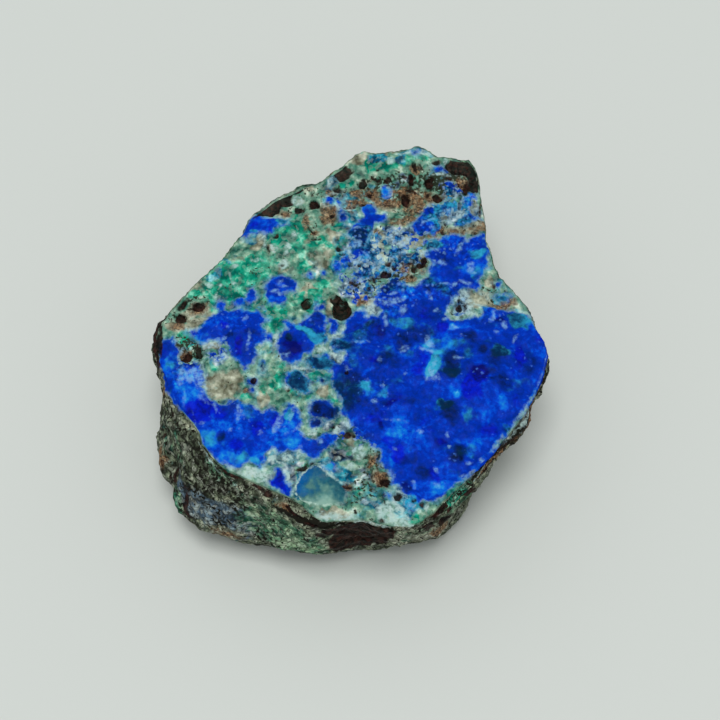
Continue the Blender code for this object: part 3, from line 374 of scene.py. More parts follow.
# Emerald and grey-green growth, by strength.
GREEN_TINTS = [
    (-16, 3.4, 1, 0.7, 1.5), (-14.9, 4.3, 0.8, 1, 1.4), (-15.5, 5.9, 0.8, 1, 1.1),
    (-14.2, 6.7, 0.9, 0.7, 1.3), (-12.1, 7.3, 0.8, 0.9, 1), (-16, 7.4, 0.51, 0.57, 0.6),
    (-13.8, 9.2, 0.6, 0.57, 0.9), (-9.7, 12.6, 1, 1.1, 1.3), (-8.7, 13.5, 0.6, 0.7, 1),
    (-8.2, 11.5, 0.9, 1.1, 1), (-7.3, 9.6, 0.38, 1.1, 0.6), (-7.3, 8, 0.51, 0.7, 0.5),
    (-18, 4.1, 0.8, 0.57, 0.7), (-20.5, 4.1, 0.51, 0.57, 0.6), (-10.3, 1.1, 0.9, 1.3, 1.5),
    (-10.2, -0.4, 0.6, 0.7, 1.2), (-4.7, 5.6, 0.8, 0.7, 1.3), (-5.5, 3.8, 0.51, 0.7, 0.9),
    (-7, 3.7, 0.38, 0.57, 0.8), (-5.6, 2.7, 0.51, 0.9, 0.7), (-11.2, 3.4, 0.8, 0.9, 0.8),
    (-12.2, 3.1, 0.38, 0.57, 0.8), (-16.8, 5, 0.8, 0.7, 0.8), (-18.8, 4.9, 0.8, 0.9, 0.6),
    (-17.7, 8.7, 1, 0.9, 0.5), (1.9, 23, 1.2, 0.9, 1.6), (3.7, 22.5, 0.6, 0.57, 0.7),
    (1, 21.9, 0.6, 0.43, 0.6), (-1.7, 20.1, 0.8, 0.7, 1), (-2.9, 13.6, 0.8, 0.7, 0.9),
    (-2.1, 11.5, 0.51, 0.7, 0.6), (-3.8, 11.1, 0.6, 0.43, 0.7), (-5.3, 11.5, 0.8, 0.57, 0.6),
    (7.1, 23.5, 1.8, 0.43, 0.6), (-21.5, -1.9, 0.8, 1, 1), (-3.2, -9.6, 0.6, 0.57, 1),
    (-2.1, -11.3, 0.38, 0.57, 0.7), (-4.9, -6.3, 0.8, 0.57, 0.8), (-10.3, -7.7, 0.51, 0.9, 0.8),
    (-13.8, -9.6, 0.38, 0.43, 1.2), (-17.7, -5.5, 0.8, 0.7, 0.7), (6.4, -25.3, 0.9, 0.9, 1),
    (-9.1, -17.3, 0.51, 0.43, 0.8), (-1.4, -16.6, 0.51, 0.43, 0.8), (-1.9, -22.2, 0.6, 0.9, 1),
    (-0.2, -21.8, 0.6, 0.43, 0.7), (2.6, -21.6, 0.6, 0.7, 0.5), (11.3, -21.3, 0.8, 1.7, 1, -45),
    (-6, -18.2, 0.9, 0.7, 0.6), (-13.8, 7.7, 1.8, 2, 0.3), (-16.8, 6.3, 1.5, 2, 0.35),
    (-3.1, 8.8, 0.8, 2, 0.4), (-8.4, 3.5, 1.3, 1.1, 0.4), (-11.8, 2.1, 0.6, 0.7, 0.5),
    (-11.3, -3.3, 0.9, 1.3, 0.35), (-11.5, -8.3, 0.51, 1.1, 0.5), (-7.8, -9.2, 0.8, 1.1, 0.4),
    (-6.1, -9.2, 0.6, 0.9, 0.3), (5.1, 22.8, 1.5, 0.43, 0.5), (7, 20.8, 0.8, 0.9, 0.4),
    (4, 10.9, 0.6, 0.7, 0.5), (6.8, 10.5, 0.8, 0.43, 0.5), (5.9, -23.9, 0.8, 0.9, 0.3),
    (-3.6, -22.2, 0.8, 1.7, 0.4), (3.1, -23.3, 0.6, 0.7, 0.3), (-17.2, 4.6, 3.3, 3.7, 0.3),
    (-10.3, 8.8, 3.6, 4, 0.22), (-9.5, 13.6, 2.8, 2.3, 0.35), (-10.5, 1.1, 2, 2, 0.4),
    (-4.3, 3.5, 2, 2.6, 0.25), (-15.9, 3.5, 2, 2, 0.35), (-15.9, 5.2, 2.6, 3.1, 0.55),
    (-10, 12.2, 1.4, 1.8, 0.45), (-14.8, 1.6, 1.9, 1.1, 0.6), (-10.3, 0.6, 1, 1.3, 1),
    (-7.6, 13.6, 1.3, 2, 0.3), (-5.7, 11.2, 1.8, 2.6, 0.25), (-12.3, 8, 1.8, 1.4, 0.25),
    (-4.6, -6.6, 1, 1, 0.9), (-9.7, -6.6, 1, 1.7, 0.5),
]

# Teal and cyan growth, by strength.
TEAL_TINTS = [
    (-18.1, 6.6, 0.9, 0.57, 0.9), (-16.5, 8.8, 0.51, 0.43, 0.7), (-2.8, 8, 0.6, 1.1, 1),
    (-1.7, 17.3, 0.6, 1.1, 1.1), (-0.9, 15.5, 0.8, 0.7, 1.1), (-3.8, 17.8, 0.8, 0.7, 0.7),
    (-3.5, 20.3, 0.8, 1.1, 0.6), (2.4, 23.8, 1, 0.57, 1.3), (4.8, 23.5, 0.6, 0.7, 1.1),
    (5.8, 24.5, 1, 0.57, 0.8), (8.4, 24.7, 1, 0.57, 0.6), (10.3, 21.4, 1.2, 0.43, 0.9),
    (-9.7, 14.3, 0.6, 0.57, 0.8), (-14.1, 12.2, 0.8, 0.43, 0.8), (-14.4, 2.8, 0.8, 0.7, 0.9),
    (-12.1, 2.3, 0.6, 0.7, 0.8), (-6.8, -21.4, 0.8, 1.3, 0.8), (-6.8, -20.1, 0.8, 0.9, 0.9),
    (-4.7, -21.4, 1.8, 2.3, 0.5), (-1.8, -19.5, 1.3, 0.7, 1.5, -25), (-3.5, -18.5, 0.9, 0.7, 1.3, -30),
    (-2.4, -21.3, 0.9, 1.7, 1), (0.7, -22.7, 1.8, 2, 0.4), (5.7, -23.1, 1.2, 1.1, 1.3),
    (4.7, -24.6, 0.8, 0.9, 0.5), (17.4, 4.2, 1, 0.7, 1), (17.1, 5.9, 0.6, 0.7, 0.7),
    (19.2, 1.9, 0.9, 0.43, 0.8), (-5.4, -17.4, 0.8, 0.9, 0.6), (-6.5, 6.8, 0.51, 0.43, 0.8),
    (-4.8, 7.4, 0.51, 0.43, 0.6), (-18.1, -4.9, 0.51, 0.57, 0.5), (-20.9, -2.6, 0.8, 0.9, 0.4),
    (-2.8, 9.6, 0.51, 0.7, 0.6), (11.9, -20.4, 0.8, 0.7, 0.5), (-15.5, 3.1, 0.6, 0.57, 0.4),
    (-5, 2.6, 0.6, 0.7, 0.6), (1.5, 10.9, 0.51, 1.1, 0.3), (-0.4, 14.5, 0.8, 0.57, 0.4),
    (-9.6, -17, 2.6, 1.1, 0.5), (-11.3, -2.6, 2.6, 1.4, 0.25), (-1.9, 11.9, 1.3, 4.3, 0.3),
    (5.9, -23.3, 2.3, 1.4, 0.4), (0, 18.4, 2, 1.7, 0.35),
]

# Places where the rock is darker (below 0) or paler.
SHADE_TINTS = [
    (-16.1, 3.5, 1.2, 1, -0.35), (-10.1, 0.5, 1, 1, -0.3), (-7.5, 8.8, 1, 1, 0.25),
    (-9.4, 8.8, 0.8, 1, -0.2), (-4.8, 8.8, 1, 1.1, -0.2), (-9.7, 12.6, 0.8, 0.9, -0.15),
    (-8.2, 11.2, 0.9, 0.9, -0.2), (2.5, 10.8, 1.5, 1.1, 0.35), (6.9, 10.9, 1.5, 1.1, 0.2),
    (-0.6, 4.9, 1.5, 1.3, 0.25), (-6.2, 4.9, 1.2, 1.1, 0.15), (-14, -7.9, 1, 1.1, -0.4),
    (-11.9, -9.6, 1, 0.9, 0.15), (1.3, 22.8, 1.3, 0.9, -0.4), (3.9, 22.8, 1.2, 0.7, -0.2),
    (-3.2, 12.6, 1, 1, -0.1), (-4.7, -23.3, 1.2, 0.9, -0.15), (-1.8, -17.9, 1.8, 1.3, -0.35),
    (1.8, -18.3, 1.4, 1.6, -0.35), (-1.8, -14.7, 1.8, 1.4, -0.4), (-5.4, -15.1, 1.5, 1.1, -0.3),
    (-1.5, -22.1, 1.5, 1.3, -0.35), (-9.1, -10.6, 1.8, 1.3, -0.12), (-1.8, -10.6, 1.5, 1.7, -0.2),
]

# A lens of smooth, glassy teal chrysocolla.
GLAZE_OUTLINES = [
    [(-7.6, -20.9), (-7.2, -19.9), (-6.7, -19), (-5.8, -18.5), (-5.1, -18.5), (-4.5, -18.9), (-3.6, -19.7),
     (-2.6, -20.3), (-1.8, -21.1), (-1.5, -22.1), (-1.8, -23.1), (-2.6, -23.4), (-4.1, -23.6),
     (-5.7, -23.4), (-6.7, -22.7), (-7.5, -21.8)],
]

# Grey-blue and lavender rock, finely mixed with blue, by strength.
SLATE_TINTS = [
    (-0.7, 5, 1.7, 1.1, 1.1), (4.5, 12.3, 1.8, 1.3, 1.1), (5.3, 9.5, 1.8, 1, 1.1), (0.5, 8.8, 1.7, 1.4, 1),
    (-1.8, 10.5, 0.6, 2, 0.9), (4.1, 7.7, 1.3, 0.9, 0.9), (11.2, 15.6, 1.5, 1.1, 1),
    (11.5, 19.4, 1.2, 1.3, 1.1), (13.7, 16.9, 1.2, 1.3, 1), (-2.8, 16.5, 0.9, 1.3, 0.7),
    (5.1, 20.3, 1, 0.7, 0.6), (6.8, 13.5, 0.8, 0.9, 0.8), (15.1, 15.5, 0.8, 0.9, 0.7),
    (-2.4, -17, 1.7, 1, 0.7), (-20.5, -7, 1, 1.6, 1), (-8.6, -19.3, 0.8, 1.3, 1),
    (-16.9, -4.2, 0.8, 0.7, 0.9), (-4.2, -12.9, 1, 0.9, 0.7), (-6, -6.6, 0.51, 0.9, 0.7),
    (-5.6, 8, 0.9, 0.9, 0.5), (12.8, 3.1, 1, 1.4, 1.1), (0.2, -19.9, 1.3, 1.4, 0.6),
    (-22.1, -3.3, 1, 1, 0.5), (18, 2.1, 1.5, 0.43, 0.7), (1.5, 2.4, 0.9, 0.9, 1),
    (-2.5, 14, 0.8, 0.57, 0.5), (-0.2, 5.6, 1, 0.7, 0.8), (-7.2, -17.9, 0.6, 0.7, 0.6),
    (-1.8, -13.8, 1, 0.9, 0.6), (9, 21.4, 0.8, 0.7, 0.4), (-1.3, 14.5, 0.51, 1.1, 0.6),
    (-8.5, -5.4, 1.8, 0.43, 0.6), (-3.1, -4.3, 1, 0.9, 0.7), (-2.7, -1.9, 0.8, 0.7, 0.4),
    (2.6, -17.9, 0.6, 1.1, 0.7), (4.1, -22.7, 0.6, 0.9, 0.6), (-18.7, -7.3, 0.51, 1.3, 0.6),
    (-10.4, -2.6, 0.51, 1.1, 0.4),
]

# Brown iron stain, granular.
LIMONITE_SPOTS = [
    (-4.2, 15.8, 1, 1.7), (-6.7, 14.6, 0.51, 1), (-5.7, 12.9, 0.38, 0.7, 35), (0.3, 17.6, 1.2, 0.57),
    (-0.4, 18.8, 1.2, 0.57), (1.7, 18.5, 0.9), (4.6, 17.5, 0.8, 0.57), (6.5, 18.2, 1.5, 1),
    (7.4, 17.1, 0.8, 0.9), (6.3, 15.3, 1, 0.7, 30), (4.9, 14.5, 1, 0.57), (8.5, 18.5, 0.8, 0.9),
    (6.1, 6.4, 0.8, 0.57), (7.9, 8.5, 0.51, 1.3), (10.1, 13.2, 0.9, 0.43, 20), (0.1, 3.4, 1, 0.7),
    (15.7, 13.9, 0.51, 0.7), (18.4, 3.4, 0.9, 0.7), (-22.5, 0, 0.9, 0.7), (-19.9, 2.3, 0.9, 0.57),
    (-21.3, -3.9, 0.51, 0.57), (-13.8, -8.7, 0.38, 0.28), (2.6, -20.2, 0.9, 1), (1.6, -17.8, 0.51, 0.7),
    (-1.3, -21.1, 0.6, 0.43), (18.2, -1.4, 0.51, 0.57), (-9.6, 15.6, 0.6, 0.57), (3.6, 24.7, 0.6, 0.28),
    (13.2, 20.3, 0.8, 1.1), (6.9, 22, 0.8, 0.57), (9.1, 12.3, 1.2, 0.28), (5.9, 8, 0.8, 0.9),
    (-3.8, 18.9, 0.51, 0.43), (2, 12.9, 0.8, 0.57), (17.4, 2.8, 1.3, 0.43), (3.6, 17.6, 1.8, 0.57, 5),
    (7, 16.5, 2, 0.57, -10), (5.4, 19.1, 1.5, 0.43), (1, 18.8, 1, 0.57), (10.2, 18.1, 1, 0.43, 10),
    (4.6, 14.6, 1.2, 0.43, 20), (11.6, 13.2, 2, 0.28, 5), (14.9, 13.5, 1.3, 0.28), (8.2, 15.3, 1, 0.43),
    (-1.3, 16.9, 0.6, 0.9), (-2, -6.1, 0.45, 0.35),
]

# Beige and cream rock, by strength.
CREAM_TINTS = [
    (-19.7, 1.5, 1.7, 1.3, 1.2), (-18, 2.4, 0.8, 0.9, 0.9), (-22.7, -0.2, 0.9, 0.7, 1),
    (-21, -0.3, 1, 0.57, 0.7), (-12.5, 11.9, 0.8, 0.7, 0.7), (-13.2, 11.1, 1, 0.7, 0.7),
    (-11.1, 10.5, 0.51, 0.57, 0.9), (-9.6, 8, 0.6, 0.7, 0.7), (-15, 8.9, 0.9, 0.7, 0.6),
    (-5, 8.8, 1, 1.4, 0.45), (-4, 10.2, 0.6, 1.1, 0.5), (-3.2, 12.6, 1.2, 0.9, 0.8),
    (-6.1, 12.5, 0.9, 0.9, 0.7), (-6.5, 4.6, 1, 0.9, 0.6), (-3.7, 2.7, 0.51, 1.1, 1),
    (-3.2, 1.6, 0.38, 0.57, 0.7), (-18.2, -2.7, 0.8, 0.43, 1), (-16.8, -8.1, 2, 1.7, 0.75),
    (-14.9, -6.9, 0.8, 0.7, 0.5), (-11.9, -9.6, 0.8, 0.9, 1.1), (-8.5, -8.3, 0.6, 0.7, 1),
    (-11.4, -3.5, 0.9, 1.1, 0.4), (-4.4, -8.7, 0.8, 0.57, 0.8), (2.5, 11.1, 0.6, 1.3, 0.9),
    (6, 11.8, 0.8, 0.7, 0.9), (7, 10.6, 0.8, 0.57, 0.7), (7.3, 11.9, 0.8, 0.57, 0.7),
    (0.5, 3.4, 1, 0.9, 0.8), (14.7, 3.5, 1.2, 1.1, 1.3), (16.8, 3.4, 1, 0.57, 0.9),
    (16.1, 6.4, 0.6, 0.9, 0.9), (18.3, 3.5, 0.8, 0.7, 0.6), (14.6, 16.3, 0.51, 0.9, 0.7),
    (13.2, 13.6, 1.8, 0.7, 0.9), (15.2, 13.6, 0.6, 0.9, 0.8), (10.9, 15.2, 0.6, 0.7, 0.4),
    (12.2, 21, 1, 0.57, 0.7), (-10.2, 15.9, 1, 0.7, 0.9), (-7.9, 17.6, 0.9, 0.7, 0.4),
    (-6.4, 19.1, 0.8, 0.57, 0.6), (-0.3, 24.1, 1.3, 1, 0.8), (3.2, 24.5, 0.8, 0.43, 0.6),
    (2, -19.9, 0.51, 0.9, 0.7), (2.8, 16.9, 1.3, 0.7, 0.7), (18.1, -1, 0.6, 1, 1),
    (6.5, 6.8, 0.51, 0.57, 0.7), (-3.1, -24.3, 1.5, 0.43, 0.8), (-20.6, 5.7, 1, 0.7, 0.6, 40),
    (8.9, 17.6, 0.8, 0.7, 0.6), (1, 20.5, 0.8, 0.57, 0.5), (-1.9, 18.8, 1, 0.28, 0.5),
    (-1, -15.1, 0.6, 0.57, 0.5), (-14.8, -10.2, 0.6, 0.57, 0.4), (-0.5, -16.4, 1, 0.9, 0.3),
]

# Pale crust: white, lavender and mint, thin and crisp. The thin lines that follow the rim, along the lower
# left, the right and the front, are painted highlights on its edge.
PALE_CRUST_AND_RIM_HIGHLIGHT_SPOTS = [
    (12.1, 1.1, 0.51, 0.37), (13.6, 1.5, 0.9, 0.34), (11.8, 3.8, 0.51, 0.43), (12.8, 3.9, 0.51, 0.7),
    (13.6, 2.8, 0.51, 1.1), (13, 1.7, 0.51, 0.28), (14.6, 2.8, 0.45, 0.28), (10.9, 1.9, 0.19, 0.7),
    (15.7, 4.6, 0.6, 0.14), (9.3, 10.6, 0.6, 0.21, -10), (10.3, 8.8, 0.51, 0.43, -30),
    (9.2, 8.8, 0.33, 0.43), (12.7, 10.9, 0.8, 0.28, 65), (14, 8, 0.38, 0.7), (13.2, 5.7, 0.8, 0.31, -25),
    (10.7, 5.7, 0.51, 0.17), (10.8, 10.2, 0.2, 0.17), (6.1, 5.5, 0.6, 0.23), (7.1, 6, 0.19, 0.43),
    (4.5, 3.4, 0.8, 0.37, 10), (5.3, 2.1, 0.38, 0.57), (4.1, 4.5, 0.38, 0.23), (3.1, 3, 0.8, 0.18, -10),
    (3.1, 0.6, 0.23, 0.57), (1.5, 3, 0.23, 0.9), (0.7, 1.2, 0.28, 0.23), (1.7, 1.7, 0.6, 0.14, 10),
    (1.1, 2.1, 0.6, 0.43), (2.1, 4.6, 0.2, 0.7), (1.8, 8, 0.26, 0.9), (0.8, 8.7, 1, 0.21, 10),
    (-0.4, 8.4, 0.46, 0.31), (-0.5, 11.2, 0.51, 0.48), (-0.5, 13.5, 0.38, 0.28), (1, 9.5, 0.6, 0.2, -35),
    (0.9, 11.8, 0.13, 0.7, -20), (-1.5, 10.5, 0.26, 0.9), (2, 11.1, 0.38, 0.9), (2.5, 9.4, 0.38, 0.57),
    (3.9, 7.7, 0.33, 0.43), (5.4, 10.1, 1, 0.23, 15), (4.3, 9.4, 0.6, 0.17, 25), (4.5, 13.2, 0.51, 0.43),
    (4, 12.2, 0.33, 0.57), (5.4, 11.5, 0.6, 0.48), (6.2, 11.9, 0.41, 0.57), (7.4, 10.9, 0.46, 0.26, -15),
    (8, 10.2, 0.51, 0.43), (8.7, 14.8, 1, 0.23, 25), (9.1, 13.5, 0.38, 0.17, -20), (11.3, 16.1, 1, 0.18),
    (12.8, 15.8, 0.38, 0.43), (15.2, 14.9, 0.38, 0.28), (11.5, 14.6, 0.38, 0.28), (12.8, 15.3, 0.51, 0.14),
    (5.7, 24.4, 1.2, 0.37), (8.4, 24.5, 1, 0.43), (3.9, 23.3, 0.38, 0.43), (3.6, 19.7, 0.2, 0.17),
    (4, 18.9, 0.23, 0.28), (10.3, 21.4, 0.9, 0.23), (10.9, 23.5, 0.38, 0.57), (9.4, 22.8, 0.38, 0.17, 20),
    (-3.8, 20.3, 0.38, 0.57), (-3.1, 18.9, 0.8, 0.23, 15), (-1.3, 16.5, 0.6, 0.21), (-4.1, 16.8, 0.6, 0.17),
    (-11.7, 15, 1, 0.2), (-9.9, 14.9, 0.6, 0.2), (-8, 17.6, 0.8, 0.57), (-12.6, 12.2, 0.51, 0.37),
    (-12, 11.1, 0.2, 0.57), (-10.9, 10.5, 0.46, 0.57), (-9.6, 8.4, 0.59, 0.57), (-9.1, 10.8, 0.51),
    (-9.3, 10.1, 0.26, 0.43), (-15.5, 8, 0.38, 0.34), (-15.7, 6.1, 0.18, 1, 20), (-17.9, 3.9, 0.31, 0.28),
    (-18.8, 5.7, 0.38, 0.34), (-17.2, 5.2, 0.38, 0.23), (-12.7, 8.8, 0.6, 0.23), (-8, 12.6, 0.51, 0.28),
    (-16.7, -1.7, 0.28), (-16.5, -0.3, 0.19, 0.18), (-14.2, 0.8, 0.23, 0.2), (-13.6, -2.2, 0.12, 0.7),
    (-19, -2.6, 0.26, 0.34), (-19.2, -6.1, 0.2, 1.1), (-16.8, -4.1, 0.51, 0.37), (-18.3, -2.7, 0.8, 0.34),
    (-17.6, -2.1, 0.6, 0.17), (-9.9, 5.9, 0.38, 0.16, 40), (-9.3, 5.3, 0.38, 0.13, -10),
    (-10.6, 4.6, 0.38, 0.17), (-9.9, 4.2, 0.26), (-9.4, -3.8, 0.38, 0.11, 10), (-9.4, -4.2, 0.38, 0.1, 10),
    (-7.4, -5.7, 0.9, 0.31), (-10.3, -1.8, 0.28, 1), (-4.4, -3.1, 1.2, 0.31, 10), (-3, -1.5, 0.8, 0.51, 30),
    (-2.2, -0.4, 0.33, 0.7), (-3.3, -3.8, 0.51, 0.48), (-2.4, -4.5, 0.51), (-11.4, -3.7, 0.15, 0.57),
    (-11.9, -2.6, 0.38, 0.43), (-1.6, -5.9, 0.26, 0.16), (0.2, -2.2, 0.6, 0.13), (0.9, -7.5, 0.2, 0.17),
    (-10, -12.8, 0.38, 0.9, -25), (-10.3, -13.7, 0.26, 0.43), (-7.6, -13.5, 0.9, 0.14, 30),
    (-5.6, -14.2, 0.6, 0.34), (-4.8, -15.3, 0.38, 0.28), (-12, -14.2, 0.2, 0.21),
    (-14.7, -10.9, 0.23, 0.43), (-14.4, -11.5, 0.46, 0.23), (-14.8, -12.3, 0.19, 0.28),
    (-15.6, -13.7, 0.22, 0.24), (-18.9, -12.8, 0.17), (-17.5, -10.7, 0.14, 0.43),
    (-19, -9.8, 0.6, 0.2, -25), (-2.6, -13.8, 0.56, 0.57), (-1.3, -13.3, 0.38, 0.37),
    (-7.2, -16.5, 0.33, 0.6), (-21.8, -6.9, 0.51, 1, 15), (-20.5, -6.7, 0.8, 1), (-19.5, -7.3, 0.38, 1.1),
    (-22.7, -2.2, 0.46, 0.21, 25), (-19, -8.1, 0.28, 1), (-21.4, -9.8, 0.15, 0.57),
    (-19.1, -14.7, 1.3, 0.11, -72), (-17.6, -17, 1.5, 0.13, -40), (-15.6, -18.4, 1, 0.18, -25),
    (-13.2, -19.3, 1.5, 0.9), (-11.9, -19.9, 0.6, 0.57, -40), (-11.2, -19.4, 0.51, 1),
    (-8.8, -19.3, 0.32, 1.1, 15), (-8.6, -17.1, 0.8, 0.57), (-10.5, -17, 0.58, 0.9),
    (-9.5, -17.8, 0.9, 0.2, -10), (-7.8, -21.3, 0.8, 0.11, 70), (-7.1, -19.8, 0.9, 0.11, 55),
    (-6, -18.7, 0.9, 0.11, 20), (-4, -18.9, 0.9, 0.17, -40), (-2.9, -20.1, 1.2, 0.14, -30),
    (-1.5, -20.6, 0.6, 0.14, -10), (-0.1, -16.6, 0.9, 0.8), (-1, -18.3, 0.6, 0.3, 15),
    (0.7, -22.8, 0.38, 0.43), (0.4, -19.8, 0.38, 0.2), (3.7, -19.7, 0.28, 0.57),
    (4.6, -21.8, 0.6, 0.18, -25), (3.4, -24.2, 1.5, 1.3), (4.7, -25.4, 1.2, 0.9), (-2, -24.9, 1.8, 0.43, 5),
    (-3.7, -24.7, 1.7, 0.37), (-2.1, -25.3, 1, 0.31), (3.8, -26.4, 1.9, 0.2, -5), (6.1, -23.4, 0.51, 0.37),
    (7.9, -23.6, 0.26, 0.43), (-2.6, -17.5, 0.26, 0.28), (1.9, -26, 1, 0.17, -20),
    (14.7, -17.6, 0.33, 0.34, 30), (13.1, -18, 0.26, 0.14), (12.3, -19.5, 0.31, 0.16, 30),
    (9.2, -18.8, 0.2, 0.31, 40), (10.7, -16, 0.2, 0.21), (10.6, -14.3, 0.18, 0.26), (4.1, -16.2, 0.23, 0.2),
    (5.5, -6.5, 0.19, 0.18), (3, -8.1, 0.19, 0.18), (1.8, -10.2, 0.31, 0.2), (8, -3.4, 0.58, 0.16),
    (8.8, -3.7, 0.38, 0.14, -20), (8.6, -2.7, 0.38, 0.57, 30), (8.2, -1.9, 0.33, 0.48),
    (9, -5.3, 0.9, 0.13, 75), (9.1, -6.6, 0.51, 0.13, -60), (8.8, -6.7, 0.51, 0.6), (9.4, -7.4, 0.23, 0.48),
    (8.5, -7.3, 0.51, 0.37), (5.4, -3.4, 0.38, 0.16, 20), (5.4, -2.9, 0.31, 0.14), (2.4, -4.7, 0.26),
    (10.3, 0.9, 0.26, 0.17), (12.5, -1.7, 0.19, 0.18), (16.7, -1.1, 0.2, 0.2, 30), (11.5, -0.4, 0.46, 0.26),
    (16.1, 0.9, 0.28, 0.2), (16.5, 1.6, 0.26, 0.57), (19.2, -1.7, 0.2, 0.48, -30), (17.8, 0.1, 0.44, 0.57),
    (20.4, 2, 0.6, 0.23, -15), (22, -7.5, 0.9, 0.13, 70), (19.6, -11.3, 1.2, 0.13, 55),
    (18.6, -14.1, 1.5, 0.13, 40), (22.8, -4.1, 1.5, 0.1, 85), (16.4, -16.6, 1.5, 0.2, 40), (9, -20.7, 0.26),
    (6.3, -20.7, 0.13, 0.34), (7.3, -14.2, 0.26, 0.23), (4.2, -12.6, 0.8, 0.13, -10),
    (12.2, -4.6, 0.38, 0.13, -10), (14.3, 7.4, 0.26, 0.17), (8.5, 4.5, 0.28, 0.23), (8.7, 3.7, 0.18, 0.28),
    (7.6, 6.1, 0.12, 0.43), (9.4, 2.1, 0.2, 0.14), (11.8, 5.6, 0.26, 0.23), (-2.6, -13.7, 0.51, 0.57),
    (-1.2, -13.4, 0.26, 0.28), (-8.3, -11.5, 0.26, 0.7, -20), (-6.8, -14.2, 0.38, 0.28),
]

# Dark galena and its brown-black coating.
GALENA_OUTLINES = [
    [(-13.9, 14.8), (-13, 15.9), (-12, 17.1), (-10.6, 18.1), (-9.7, 18.8), (-8.9, 19.1), (-7.5, 19.8),
     (-7.2, 19.2), (-7.7, 18.7), (-8.5, 18.4), (-8.8, 17.9), (-8.5, 17.3), (-8.9, 17.1), (-9.4, 16.9),
     (-10, 16.9), (-10.3, 16.3), (-10.8, 16), (-11, 15.8), (-11.4, 15.3), (-12.2, 15.5), (-13.1, 15)],
    [(-4, 21.4), (-3.2, 22.3), (-2.4, 22.8), (-1, 22.3), (-0.8, 21.9), (-1.5, 21.1), (-2, 20.7),
     (-2.6, 20.4), (-2.9, 20.7), (-3.3, 21.1)],
    [(11.3, 23), (11.5, 24.2), (12.1, 23.9), (13.1, 23.8), (14.2, 24.1), (14.8, 23.2), (15.3, 21.9),
     (15.6, 20.5), (15.7, 19.1), (14.6, 18.9), (14.1, 19.4), (13.5, 19.7), (13.2, 20.1), (13.8, 20.7),
     (13.6, 21.4), (13, 21.7), (12.2, 21.7), (11.6, 22), (11.2, 22.3)],
    [(-3.5, 3.9), (-2.9, 4.2), (-2.4, 3.9), (-2.2, 3.4), (-1.9, 3.1), (-1.4, 2.7), (-1.2, 2), (-1.4, 1.3),
     (-1.9, 0.9), (-2.5, 0.9), (-3, 1.3), (-3.1, 2.1), (-2.9, 2.8), (-3.3, 3.1), (-3.6, 3.5)],
    [(-24.3, 0.4), (-25.4, -0.4), (-25.4, -6), (-24.4, -8), (-24.3, -6), (-24.3, -4.2), (-24.3, -2),
     (-24.5, -0.7)],
]
